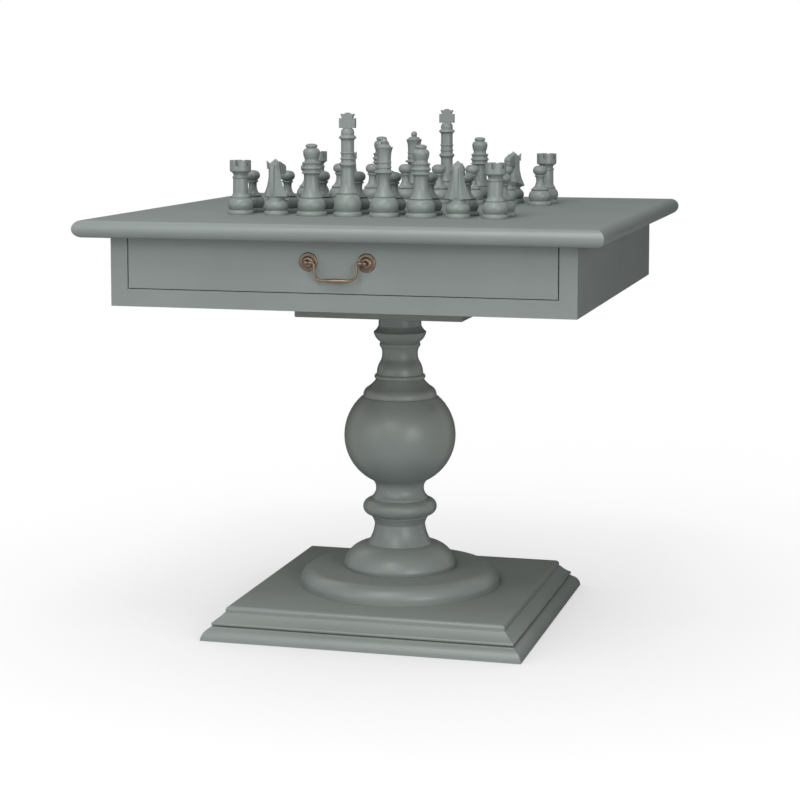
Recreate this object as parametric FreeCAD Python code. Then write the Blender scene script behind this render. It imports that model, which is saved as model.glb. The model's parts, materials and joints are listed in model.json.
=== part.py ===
import FreeCAD
import Part
import math
import os

Vector = FreeCAD.Vector
Z_AXIS = Vector(0, 0, 1)
X_AXIS = Vector(1, 0, 0)
ORIGIN = Vector(0, 0, 0)

# A square pedestal chess table with a drawer. Millimetres, +Z up, the drawer faces -Y.
# The origin is on the floor under the middle of the base.

# Table top
table_height = 762.0
top_side = 914.4
top_overhang = 50.8
top_thickness = 30.0
edge_rail_width = 57.0
edge_tongue_thickness = 9.0
edge_tongue_length = 10.0

# Inlaid board
square_side = 66.0
squares_per_side = 8
stringing_width = 4.0
inlay_thickness = 4.0

# Case under the top
case_height = 120.0
case_wall = 20.0
case_bottom_thickness = 18.0
case_rabbet = 10.0
stile_width = 30.5
stile_tongue_thickness = 8.0
stile_tongue_length = 8.0
bottom_rail_height = 30.3
rail_tenon_length = 15.0
rail_tenon_thickness = 8.0
rail_tenon_shoulder = 5.0
corner_block_leg = 60.0

# Drawer
drawer_gap = 2.0
drawer_bottom_gap = 1.5
drawer_front_thickness = 20.0
drawer_length = 460.0
drawer_side_thickness = 12.0
drawer_back_thickness = 12.0
drawer_back_setback = 16.0
drawer_back_drop = 8.0
drawer_dado = 6.0
drawer_panel_thickness = 6.0
drawer_panel_raise = 8.0
tail_count = 3
tail_length = 14.0
tail_slope = 1.0 / 7.0
tail_edge_pin = 6.0
tail_base_width = 15.0
runner_width = 30.0
runner_fence_height = 20.0
runner_clearance = 0.3
fence_clearance = 0.5
kicker_thickness = 11.7
kicker_clearance = 0.5
stop_length = 45.0
stop_depth = 20.0
stop_panel_gap = 1.8
stop_offset = 150.0
stop_clearance = 0.3

# Bail pull
pull_spread = 101.6
pull_height_on_front = 52.4
rosette_radius = 16.2
rosette_height = 6.0
post_shank_radius = 2.5
post_neck_radius = 3.1
post_ball_radius = 4.4
post_reach = 12.5
post_hole_clearance = 0.1
pull_nut_across_flats = 9.0
pull_nut_thickness = 4.0
post_end_length = 2.0
bail_pin_radius = 1.55
bail_pin_clearance = 0.05
bail_pin_depth = 2.0
bail_pin_end_gap = 0.2
bail_shoulder_gap = 0.5
bail_wire_radius = 2.3
bail_grip_radius = 3.7
bail_leg_spread = 74.0
bail_drop = 30.0
bail_elbow_radius = 5.0
bail_corner_radius = 14.0

# Pedestal
plate_side = 312.0
plate_thickness = 40.0
plate_edge_chamfer = 1.5
column_base_tenon_radius = 30.0
column_top_tenon_radius = 25.0
column_tenon_length = 18.0
ball_radius = 104.3
ball_rise = 249.2
ball_foot_radius = 51.3
ball_foot_depth = 84.8
ball_foot_cove = 6.9
ball_crown_radius = 72.3
ball_crown_rise = 72.1
crown_ring_radius = 68.5
crown_ring_rise = 1.3
crown_ring_swell = 3.4
column_foot_radius = 105.0
column_foot_height = 132.8
column_neck_radius = 58.6
column_neck_height = 142.5
plinth_radius = 186.7
plinth_thickness = 32.5
plinth_edge_round = 24.7
upper_board_side = 553.6
upper_board_thickness = 33.2
lower_board_side = 586.0
lower_board_thickness = 23.3

# Tie rod through the pedestal
rod_radius = 6.0
rod_hole_clearance = 0.5
rod_end_inset = 3.0
nut_hole_clearance = 0.1
nut_across_flats = 19.0
nut_thickness = 10.0
washer_radius = 17.0
washer_thickness = 2.5
counterbore_clearance = 3.0
counterbore_depth = 16.0

# Wood screws
screw_shank_radius = 2.5
screw_head_radius = 4.5
screw_head_height = 3.0
plate_screw_inset = 24.0
plate_screw_length = 40.0
plate_screw_sink = 14.0
top_screw_length = 28.0
top_screw_count = 3
top_screw_end_inset = 70.0
base_screw_length = 66.0
base_screw_sink = 6.0
base_screw_circle = 150.0

# Chessmen
pawn_base_radius = 22.4
pawn_height = 75.4
rook_base_radius = 22.4
rook_height = 96.0
rook_cup_radius = 18.8
rook_cup_wall = 5.3
rook_notch_width = 6.0
rook_notch_depth = 10.0
rook_notch_count = 6
knight_base_radius = 21.2
knight_height = 99.6
knight_horse_height = 70.0
knight_muzzle_width = 13.0
knight_mane_width = 6.8
near_knight_turns = (-11.0, 0.0)
far_knight_turns = (180.0, 166.0)
bishop_base_radius = 26.9
bishop_height = 126.2
queen_base_radius = 26.1
queen_height = 136.7
king_base_radius = 25.1
king_height = 178.5
king_crown_height = 26.5
king_crown_sink = 1.0
king_cross_reach = 14.6
king_cross_thickness = 9.0

# Places that follow from the sizes
top_under = table_height - top_thickness
half_top = top_side / 2
half_field = half_top - edge_rail_width
half_board = square_side * squares_per_side / 2
half_inlay = half_board + stringing_width
half_case = half_top - top_overhang
half_case_inner = half_case - case_wall
case_low = top_under - case_height
case_floor = case_low + case_bottom_thickness
half_opening = half_case - stile_width
rail_top = case_low + bottom_rail_height
drawer_low = rail_top + drawer_bottom_gap
drawer_high = top_under - drawer_gap
half_drawer = half_opening - drawer_gap
drawer_face = -half_case
drawer_front_back = drawer_face + drawer_front_thickness
drawer_rear = drawer_face + drawer_length
half_drawer_inner = half_drawer - drawer_side_thickness
kicker_low = top_under - kicker_thickness
drawer_side_high = kicker_low - kicker_clearance
drawer_side_height = drawer_side_high - drawer_low
panel_low = drawer_low + drawer_panel_raise
panel_high = panel_low + drawer_panel_thickness
runner_high = drawer_low - runner_clearance
stop_high = panel_low - stop_panel_gap
runner_rear = half_case_inner - corner_block_leg
pull_axis_z = drawer_low + pull_height_on_front
pull_axis_y = drawer_face - post_reach
plate_high = case_low
plate_low = plate_high - plate_thickness
plinth_low = lower_board_thickness + upper_board_thickness
plinth_high = plinth_low + plinth_thickness
ball_height = plinth_high + ball_rise
ball_foot = ball_height - ball_foot_depth
ball_crown = ball_height + ball_crown_rise
counterbore_radius = washer_radius + counterbore_clearance


def box(x_range, y_range, z_range):
    low = Vector(x_range[0], y_range[0], z_range[0])
    return Part.makeBox(x_range[1] - x_range[0], y_range[1] - y_range[0], z_range[1] - z_range[0], low)


def outline_face(steps):
    # A closed face in the XZ plane. Each step is (x, z) for a straight edge or (x, z, swell)
    # for an arc whose middle stands swell out to the right of the way of travel.
    edges = []
    here = Vector(steps[0][0], 0, steps[0][1])
    for step in list(steps[1:]) + [steps[0][:2]]:
        there = Vector(step[0], 0, step[1])
        if there.distanceToPoint(here) < 1e-6:
            continue
        if len(step) == 3 and step[2] != 0:
            way = (there - here).normalize()
            right = Vector(way.z, 0, -way.x)
            middle = (here + there) * 0.5 + right * step[2]
            edges.append(Part.Arc(here, middle, there).toShape())
        else:
            edges.append(Part.LineSegment(here, there).toShape())
        here = there
    return Part.Face(Part.Wire(edges))


def turned(steps):
    # A solid of revolution about Z; the steps run from the bottom of the axis to its top.
    return outline_face(steps).revolve(ORIGIN, Z_AXIS, 360)


def stretched(steps, radius, height):
    # Steps drawn at full size from height 0 up, made to reach this radius and this height.
    wide = radius / max(step[0] for step in steps)
    tall = height / max(step[1] for step in steps)
    return [(step[0] * wide, step[1] * tall) + tuple(swell * (wide + tall) / 2 for swell in step[2:])
            for step in steps]


def swell_from_upright(inset, reach):
    # The swell of an arc that leaves an upright tangent and ends this far in and this far along.
    radius = (inset ** 2 + reach ** 2) / (2 * inset)
    return radius - math.sqrt(radius ** 2 - (inset ** 2 + reach ** 2) / 4)


def raised(steps, low):
    return [(step[0], step[1] + low) + tuple(step[2:]) for step in steps]


def board_edge(steps, side, low, thickness):
    # Steps (inset from the widest line, height) drawn at full size, made as high as the board is thick.
    scale = thickness / steps[-1][1]
    return [(side / 2 - step[0] * scale, low + step[1] * scale) + tuple(swell * scale for swell in step[2:])
            for step in steps]


def moulded_board(side_steps):
    # A square board whose four edges carry the moulding, mitred at the corners:
    # the common part of two bars of that section that cross at right angles.
    swells = [step[2] if len(step) == 3 else 0 for step in side_steps]
    mirrored = [(-side_steps[-1][0], side_steps[-1][1])]
    for index in range(len(side_steps) - 2, -1, -1):
        x, z = side_steps[index][:2]
        mirrored.append((-x, z, swells[index + 1]))
    section = outline_face(list(side_steps) + mirrored)
    reach = 1.2 * max(step[0] for step in side_steps)
    section.translate(Vector(0, -reach, 0))
    bar = section.extrude(Vector(0, 2 * reach, 0))
    crossing_bar = bar.copy()
    crossing_bar.rotate(ORIGIN, Z_AXIS, 90)
    return bar.common(crossing_bar)


def drilled(x, y, z_range, radius):
    return Part.makeCylinder(radius, z_range[1] - z_range[0], Vector(x, y, z_range[0]))


def hexagonal(across_flats, thickness, hole_radius):
    corner = across_flats / math.sqrt(3)
    points = [Vector(corner * math.cos(math.radians(60 * i)), corner * math.sin(math.radians(60 * i)), 0)
              for i in range(7)]
    nut = Part.Face(Part.makePolygon(points)).extrude(Vector(0, 0, thickness))
    return nut.cut(Part.makeCylinder(hole_radius, thickness))


def facing_front(shape, x, z):
    # Turns a piece made along +Z so that it stands out of the drawer front at this place.
    piece = shape.copy()
    piece.rotate(ORIGIN, X_AXIS, 90)
    piece.translate(Vector(x, drawer_face, z))
    return piece


def save(name, shape):
    shape.exportStep("parts/" + name + ".step")


def group(pieces):
    return Part.makeCompound(pieces)


# ---- Top: a field panel tongued into four mitred edge rails ----

def make_field_panel():
    panel = box((-half_field, half_field), (-half_field, half_field), (top_under, table_height))
    half_tongue = half_field + edge_tongue_length
    tongue_low = top_under + (top_thickness - edge_tongue_thickness) / 2
    tongue_span = (-half_tongue, half_tongue)
    tongue = box(tongue_span, tongue_span, (tongue_low, tongue_low + edge_tongue_thickness))
    recess_span = (-half_inlay, half_inlay)
    recess = box(recess_span, recess_span, (table_height - inlay_thickness, table_height))
    return panel.fuse(tongue).cut(recess)


def make_edge_rail(field_panel, quarter_turns):
    # A full half-round outer edge; the ends are cut at 45 degrees.
    nose = top_thickness / 2
    section = outline_face([
        (half_field, top_under),
        (half_top - nose, top_under),
        (half_top - nose, table_height, nose),
        (half_field, table_height)])
    section.translate(Vector(0, -half_top, 0))
    rail = section.extrude(Vector(0, top_side, 0))
    wedge = Part.Face(Part.makePolygon([
        Vector(0, 0, top_under),
        Vector(half_top, -half_top, top_under),
        Vector(half_top, half_top, top_under),
        Vector(0, 0, top_under)])).extrude(Vector(0, 0, top_thickness))
    rail = rail.common(wedge)
    rail.rotate(ORIGIN, Z_AXIS, 90 * quarter_turns)
    return rail.cut(field_panel)


# ---- Inlay: squares and stringing let into the field panel ----

def square_span(index):
    low = index * square_side - half_board
    return (low, low + square_side)


def make_squares(parity):
    inlay_z = (table_height - inlay_thickness, table_height)
    squares = []
    for column in range(squares_per_side):
        for row in range(squares_per_side):
            if (column + row) % 2 == parity:
                squares.append(box(square_span(column), square_span(row), inlay_z))
    return group(squares)


def make_stringing():
    strip = Part.Face(Part.makePolygon([
        Vector(half_board, -half_board, table_height - inlay_thickness),
        Vector(half_inlay, -half_inlay, table_height - inlay_thickness),
        Vector(half_inlay, half_inlay, table_height - inlay_thickness),
        Vector(half_board, half_board, table_height - inlay_thickness),
        Vector(half_board, -half_board, table_height - inlay_thickness)]))
    strip = strip.extrude(Vector(0, 0, inlay_thickness))
    strips = []
    for quarter in range(4):
        turned_strip = strip.copy()
        turned_strip.rotate(ORIGIN, Z_AXIS, 90 * quarter)
        strips.append(turned_strip)
    return group(strips)


# ---- Case: aprons, front frame and bottom ----

def make_case_bottom():
    half_wide = half_case_inner + case_rabbet
    return box((-half_wide, half_wide), (-half_case_inner, half_wide), (case_low, case_floor))


def make_apron_back():
    half_wide = half_case_inner + case_rabbet
    return box((-half_wide, half_wide), (half_case_inner, half_case), (case_low, top_under))


def make_apron_side(hand, back, bottom):
    wall = box((half_case_inner, half_case), (-half_case_inner, half_case), (case_low, top_under))
    tongue_x = half_case - (case_wall + stile_tongue_thickness) / 2
    tongue = box((tongue_x, tongue_x + stile_tongue_thickness),
                 (-half_case_inner - stile_tongue_length, -half_case_inner), (case_low, top_under))
    side = wall.fuse(tongue)
    if hand < 0:
        side = side.mirror(ORIGIN, X_AXIS)
    return side.cut(back).cut(bottom)


def make_bottom_rail():
    rail = box((-half_opening, half_opening), (-half_case, -half_case_inner), (case_low, rail_top))
    half_tenoned = half_opening + rail_tenon_length
    tenon_y = -half_case + (case_wall - rail_tenon_thickness) / 2
    tenons = box((-half_tenoned, half_tenoned), (tenon_y, tenon_y + rail_tenon_thickness),
                 (case_low + rail_tenon_shoulder, rail_top - rail_tenon_shoulder))
    return rail.fuse(tenons)


def make_stile(hand, side, rail):
    x_range = (half_opening, half_case)
    if hand < 0:
        x_range = (-half_case, -half_opening)
    stile = box(x_range, (-half_case, -half_case_inner), (case_low, top_under))
    return stile.cut(side).cut(rail)


def make_runner(hand):
    # An L: the drawer side rides on the foot, and the fence keeps it straight.
    fence_inner = half_drawer + fence_clearance
    y_range = (-half_case_inner, runner_rear)
    foot = box((half_case_inner - runner_width, half_case_inner), y_range, (case_floor, runner_high))
    fence = box((fence_inner, half_case_inner), y_range, (runner_high, runner_high + runner_fence_height))
    runner = foot.fuse(fence).removeSplitter()
    if hand < 0:
        return runner.mirror(ORIGIN, X_AXIS)
    return runner


def make_kicker(hand):
    kicker = box((half_case_inner - runner_width, half_case_inner), (-half_case_inner, runner_rear),
                 (kicker_low, top_under))
    if hand < 0:
        return kicker.mirror(ORIGIN, X_AXIS)
    return kicker


def make_corner_blocks():
    corner = half_case_inner
    inner = half_case_inner - corner_block_leg
    block = Part.Face(Part.makePolygon([
        Vector(corner, corner, case_floor),
        Vector(inner, corner, case_floor),
        Vector(corner, inner, case_floor),
        Vector(corner, corner, case_floor)])).extrude(Vector(0, 0, top_under - case_floor))
    return group([block, block.mirror(ORIGIN, X_AXIS)])


def make_drawer_stops():
    y_low = drawer_front_back + stop_clearance
    stops = []
    for hand in (-1, 1):
        x_middle = hand * stop_offset
        stops.append(box((x_middle - stop_length / 2, x_middle + stop_length / 2),
                         (y_low, y_low + stop_depth), (case_floor, stop_high)))
    return group(stops)


# ---- Drawer: half-blind dovetails at the front, housed back and bottom ----

def dovetail_tails():
    # Tails on the front end of a drawer side: wide at the tip, narrow where they leave the side.
    free = drawer_side_height - 2 * tail_edge_pin - tail_count * tail_base_width
    pin_width = free / (tail_count - 1)
    flare = tail_length * tail_slope
    tails = []
    for index in range(tail_count):
        low = drawer_low + tail_edge_pin + index * (tail_base_width + pin_width)
        high = low + tail_base_width
        tip = drawer_front_back - tail_length
        tail = Part.Face(Part.makePolygon([
            Vector(half_drawer_inner, drawer_front_back, low),
            Vector(half_drawer_inner, tip, low - flare),
            Vector(half_drawer_inner, tip, high + flare),
            Vector(half_drawer_inner, drawer_front_back, high),
            Vector(half_drawer_inner, drawer_front_back, low)]))
        tails.append(tail.extrude(Vector(drawer_side_thickness, 0, 0)))
    return tails


def make_drawer_panel():
    half_wide = half_drawer_inner + drawer_dado
    rear = drawer_rear - drawer_back_setback
    return box((-half_wide, half_wide), (drawer_front_back - drawer_dado, rear), (panel_low, panel_high))


def make_drawer_back():
    half_wide = half_drawer_inner + drawer_dado
    rear = drawer_rear - drawer_back_setback
    return box((-half_wide, half_wide), (rear - drawer_back_thickness, rear),
               (panel_high, drawer_side_high - drawer_back_drop))


def make_drawer_side(hand, panel, back):
    side = box((half_drawer_inner, half_drawer), (drawer_front_back, drawer_rear),
               (drawer_low, drawer_side_high))
    for tail in dovetail_tails():
        side = side.fuse(tail)
    side = side.removeSplitter()
    if hand < 0:
        side = side.mirror(ORIGIN, X_AXIS)
    return side.cut(panel).cut(back)


def make_drawer_front(sides, panel, post_holes):
    front = box((-half_drawer, half_drawer), (drawer_face, drawer_front_back), (drawer_low, drawer_high))
    for piece in sides:
        front = front.cut(piece)
    front = front.cut(panel)
    for hole in post_holes:
        front = front.cut(hole)
    return front


# ---- Bail pull ----

def post_places():
    return (-pull_spread / 2, pull_spread / 2)


def make_post_hole(x):
    depth = drawer_front_thickness + 2 * post_reach
    hole = Part.makeCylinder(post_shank_radius + post_hole_clearance, depth, Vector(0, 0, -depth / 2))
    return facing_front(hole, x, pull_axis_z)


def make_rosette(x):
    rim = rosette_radius
    rosette = turned([
        (0, 0),
        (rim, 0),
        (rim, 0.12 * rosette_height),
        (0.84 * rim, 0.42 * rosette_height, 0.07 * rosette_height),
        (0.62 * rim, 0.5 * rosette_height),
        (0.57 * rim, 0.7 * rosette_height),
        (0.24 * rim, rosette_height, 0.1 * rosette_height),
        (0, rosette_height)])
    hole = Part.makeCylinder(post_shank_radius + post_hole_clearance, rosette_height)
    return facing_front(rosette.cut(hole), x, pull_axis_z)


def make_post(x):
    # Shank through the drawer front, a neck above the rosette, and a ball with the eye in it.
    shank_length = drawer_front_thickness + pull_nut_thickness + post_end_length
    shank = Part.makeCylinder(post_shank_radius, shank_length + rosette_height, Vector(0, 0, -shank_length))
    neck = Part.makeCylinder(post_neck_radius, post_reach - rosette_height, Vector(0, 0, rosette_height))
    ball = Part.makeSphere(post_ball_radius, Vector(0, 0, post_reach))
    inward = -1 if x > 0 else 1
    eye_start = Vector(-inward * bail_pin_depth, 0, post_reach)
    eye = Part.makeCylinder(bail_pin_radius + bail_pin_clearance, post_ball_radius + bail_pin_depth,
                            eye_start, Vector(inward, 0, 0))
    post = shank.fuse(neck).fuse(ball).cut(eye)
    return facing_front(post, x, pull_axis_z)


def make_pull_nut(x):
    nut = hexagonal(pull_nut_across_flats, pull_nut_thickness, post_shank_radius + post_hole_clearance)
    nut.translate(Vector(0, 0, -drawer_front_thickness - pull_nut_thickness))
    return facing_front(nut, x, pull_axis_z)


def make_bail():
    # One bent wire: pins in the posts' eyes, elbows, legs, corners and a swelling grip.
    leg_x = bail_leg_spread / 2
    pin_end = pull_spread / 2 + bail_pin_depth - bail_pin_end_gap
    shoulder = pull_spread / 2 - post_ball_radius - bail_shoulder_gap
    grip_end = leg_x - bail_corner_radius
    edges = []
    for hand in (-1, 1):
        elbow = Vector(hand * leg_x, 0, 0)
        corner = Vector(hand * leg_x, 0, -bail_drop)
        elbow_out = elbow + Vector(hand * bail_elbow_radius, 0, 0)
        elbow_down = elbow - Vector(0, 0, bail_elbow_radius)
        corner_up = corner + Vector(0, 0, bail_corner_radius)
        corner_in = corner - Vector(hand * bail_corner_radius, 0, 0)
        bend = 1 - math.sqrt(0.5)
        elbow_middle = elbow + Vector(hand * bail_elbow_radius * bend, 0, -bail_elbow_radius * bend)
        corner_middle = corner + Vector(-hand * bail_corner_radius * bend, 0, bail_corner_radius * bend)
        edges.append(Part.LineSegment(Vector(hand * shoulder, 0, 0), elbow_out).toShape())
        edges.append(Part.Arc(elbow_out, elbow_middle, elbow_down).toShape())
        edges.append(Part.LineSegment(elbow_down, corner_up).toShape())
        edges.append(Part.Arc(corner_up, corner_middle, corner_in).toShape())
    grip_low = Vector(-grip_end, 0, -bail_drop)
    edges.append(Part.LineSegment(grip_low, Vector(grip_end, 0, -bail_drop)).toShape())
    path = Part.Wire(Part.sortEdges(edges)[0])
    section = Part.Wire(Part.makeCircle(bail_wire_radius, Vector(-shoulder, 0, 0), X_AXIS))
    bail = path.makePipeShell([section], True, False)
    for hand in (-1, 1):
        pin = Part.makeCylinder(bail_pin_radius, pin_end - shoulder, Vector(hand * shoulder, 0, 0),
                                Vector(hand, 0, 0))
        bail = bail.fuse(pin)
    grip = turned([
        (0, -grip_end),
        (bail_wire_radius, -grip_end),
        (bail_wire_radius, grip_end, bail_grip_radius - bail_wire_radius),
        (0, grip_end)])
    grip.rotate(ORIGIN, Vector(0, 1, 0), 90)
    grip.translate(Vector(0, 0, -bail_drop))
    bail = bail.fuse(grip)
    bail.translate(Vector(0, pull_axis_y, pull_axis_z))
    return bail


# ---- Pedestal ----

def make_plate():
    span = (-plate_side / 2, plate_side / 2)
    plate = box(span, span, (plate_low, plate_high))
    rims = [edge for edge in plate.Edges if abs(edge.CenterOfMass.z - plate_low) < 1e-6]
    return plate.makeChamfer(plate_edge_chamfer, rims)


def make_column():
    # The foot is drawn up from the round plinth and the neck down from the plate. The ball
    # between them is a little flatter than a sphere: two arcs that meet at its widest line.
    foot_steps = stretched([
        (103.4, 0),
        (105, 8, 0.4),
        (60.7, 45, 9.8),
        (47.2, 82.6, -2.9),
        (51.6, 93.3, -0.2),
        (53.3, 95.6),
        (53.3, 99.1),
        (55.2, 128.8, 14.9),
        (52.2, 128.8),
        (52.2, 132.8)], column_foot_radius, column_foot_height)
    neck_steps = stretched([
        (40, 0),
        (40, 27),
        (49.3, 39.4, -1.3),
        (36.4, 58.5, 2.6),
        (35.6, 68.8, 2.2),
        (33.5, 82.1, -1),
        (37, 95.1, -1),
        (43.4, 118.7, 1.8),
        (44.3, 127.7, 3.9),
        (58.6, 142.5, -0.8)], column_neck_radius, column_neck_height)
    neck_swells = [step[2] if len(step) == 3 else 0 for step in neck_steps] + [crown_ring_swell]
    neck_down = [(step[0], plate_low - step[1], swell)
                 for step, swell in zip(reversed(neck_steps), reversed(neck_swells))]
    foot_swell = swell_from_upright(ball_radius - ball_foot_radius, ball_foot_depth)
    crown_swell = swell_from_upright(ball_radius - ball_crown_radius, ball_crown_rise)
    steps = [
        (0, plinth_high - column_tenon_length),
        (column_base_tenon_radius, plinth_high - column_tenon_length),
        (column_base_tenon_radius, plinth_high)]
    steps += raised(foot_steps, plinth_high)
    steps += [
        (ball_foot_radius, ball_foot, -ball_foot_cove),
        (ball_radius, ball_height, foot_swell),
        (ball_crown_radius, ball_crown, crown_swell),
        (crown_ring_radius, ball_crown + crown_ring_rise)]
    steps += neck_down
    steps += [
        (column_top_tenon_radius, plate_low),
        (column_top_tenon_radius, plate_low + column_tenon_length),
        (0, plate_low + column_tenon_length)]
    return turned(steps)


def make_plinth():
    swell = plinth_edge_round * (1 - math.sqrt(0.5))
    return turned([
        (0, plinth_low),
        (plinth_radius, plinth_low),
        (plinth_radius, plinth_high - plinth_edge_round),
        (plinth_radius - plinth_edge_round, plinth_high, swell),
        (0, plinth_high)])


def make_upper_board():
    return moulded_board(board_edge([
        (6.5, 0),
        (6.5, 1.4),
        (2, 1.4),
        (2, 7.6, 2),
        (3.2, 8),
        (18.4, 21.8, -0.8),
        (20.3, 22.3),
        (20.3, 24.6),
        (27.5, 33.2, 2.6)], upper_board_side, lower_board_thickness, upper_board_thickness))


def make_lower_board():
    return moulded_board(board_edge([
        (0, 0),
        (0.6, 4),
        (14, 21, 2.6),
        (16.5, 23.3)], lower_board_side, 0, lower_board_thickness))


# ---- Fasteners ----

def wood_screw(x, y, z_head, length):
    # Flat countersunk head down, point up.
    screw = turned([
        (0, 0),
        (screw_head_radius, 0),
        (screw_shank_radius, screw_head_height),
        (screw_shank_radius, length - 2 * screw_shank_radius),
        (0, length)])
    screw.translate(Vector(x, y, z_head))
    return screw


def plate_screw_places():
    edge = plate_side / 2 - plate_screw_inset
    return [(x, y) for x in (-edge, 0, edge) for y in (-edge, 0, edge) if (x, y) != (0, 0)]


def top_screw_places():
    x = half_case_inner - runner_width / 2
    first = -half_case_inner + top_screw_end_inset
    last = runner_rear - top_screw_end_inset
    step = (last - first) / (top_screw_count - 1)
    return [(hand * x, first + step * index) for hand in (-1, 1) for index in range(top_screw_count)]


def base_screw_places():
    leg = base_screw_circle * math.sqrt(0.5)
    return [(x, y) for x in (-leg, leg) for y in (-leg, leg)]


def bore_for(piece, screws, places, head_z):
    # Cuts the screws' own shape, and the counterbore under each head.
    for screw in screws:
        piece = piece.cut(screw)
    for x, y in places:
        low = piece.BoundBox.ZMin - 1
        if low < head_z:
            piece = piece.cut(drilled(x, y, (low, head_z), screw_head_radius))
    return piece


def make_tie_rod():
    return drilled(0, 0, (rod_end_inset, plate_high - rod_end_inset), rod_radius)


def make_rod_washers():
    washer = Part.makeCylinder(washer_radius, washer_thickness)
    washer = washer.cut(Part.makeCylinder(rod_radius + rod_hole_clearance, washer_thickness))
    low = washer.copy()
    low.translate(Vector(0, 0, counterbore_depth - washer_thickness))
    high = washer.copy()
    high.translate(Vector(0, 0, plate_high - counterbore_depth))
    return group([low, high])


def make_rod_nuts():
    nut = hexagonal(nut_across_flats, nut_thickness, rod_radius + nut_hole_clearance)
    low = nut.copy()
    low.translate(Vector(0, 0, counterbore_depth - washer_thickness - nut_thickness))
    high = nut.copy()
    high.translate(Vector(0, 0, plate_high - counterbore_depth + washer_thickness))
    return group([low, high])


# ---- Chessmen: each outline is drawn at full size and stretched to the man's own sizes ----

def foot(radius, bulb_radius, bulb_top, neck_radius):
    # The disc and the bulb that every man stands on.
    disc = 7.5
    bulb_low_radius = 0.86 * bulb_radius
    bulb_swell = bulb_radius - (bulb_low_radius + neck_radius) / 2
    return [
        (0, 0),
        (radius, 0),
        (radius - 1.2, disc, 0.9),
        (bulb_low_radius, disc + 0.8),
        (neck_radius, bulb_top, bulb_swell)]


def make_pawn():
    return turned(stretched(foot(22.4, 21.2, 28.5, 15) + [
        (16.8, 30.5, 0.5),
        (7.4, 46, -2.4),
        (8.2, 54, -0.4),
        (8.2, 57.5, 2.0),
        (9, 58.5),
        (9.4, 73.5, 4.2),
        (2.5, 75.4, 0.5),
        (0, 75.4)], pawn_base_radius, pawn_height))


def make_rook():
    cup_inner = rook_cup_radius - rook_cup_wall
    body = turned(stretched(foot(22.4, 22.6, 29, 16.5) + [
        (17, 30),
        (16.2, 32.5, 0.5),
        (13.5, 40, -0.8),
        (13.1, 64),
        (13.1, 67.5, 1.4),
        (12.2, 69),
        (17.8, 76, -1.2),
        (18.8, 78, 0.3),
        (18.8, 96),
        (13.5, 96),
        (13.5, 84),
        (0, 84)], rook_base_radius, rook_height))
    notch = box((cup_inner / 2, 1.5 * rook_cup_radius), (-rook_notch_width / 2, rook_notch_width / 2),
                (rook_height - rook_notch_depth, rook_height + 1))
    for index in range(rook_notch_count):
        turned_notch = notch.copy()
        turned_notch.rotate(ORIGIN, Z_AXIS, 360 / rook_notch_count * index + 90)
        body = body.cut(turned_notch)
    return body


def flat_sided(faces):
    # A solid between flat three-cornered faces.
    sides = [Part.Face(Part.makePolygon([one, two, three, one])) for one, two, three in faces]
    solid = Part.Solid(Part.makeShell(sides))
    return solid if solid.Volume > 0 else solid.reversed()


def flat_sided_stack(rings, tip):
    # Rings of eight corners, one over the other, with a flat bottom and a pointed top.
    faces = [(rings[0][0], rings[0][index + 1], rings[0][index]) for index in range(1, 7)]
    for low, high in zip(rings, rings[1:]):
        for index in range(8):
            after = (index + 1) % 8
            if index < 4:
                faces.append((low[index], low[after], high[after]))
                faces.append((low[index], high[after], high[index]))
            else:
                faces.append((low[index], low[after], high[index]))
                faces.append((low[after], high[after], high[index]))
    faces += [(rings[-1][index], rings[-1][(index + 1) % 8], tip) for index in range(8)]
    return flat_sided(faces)


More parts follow.
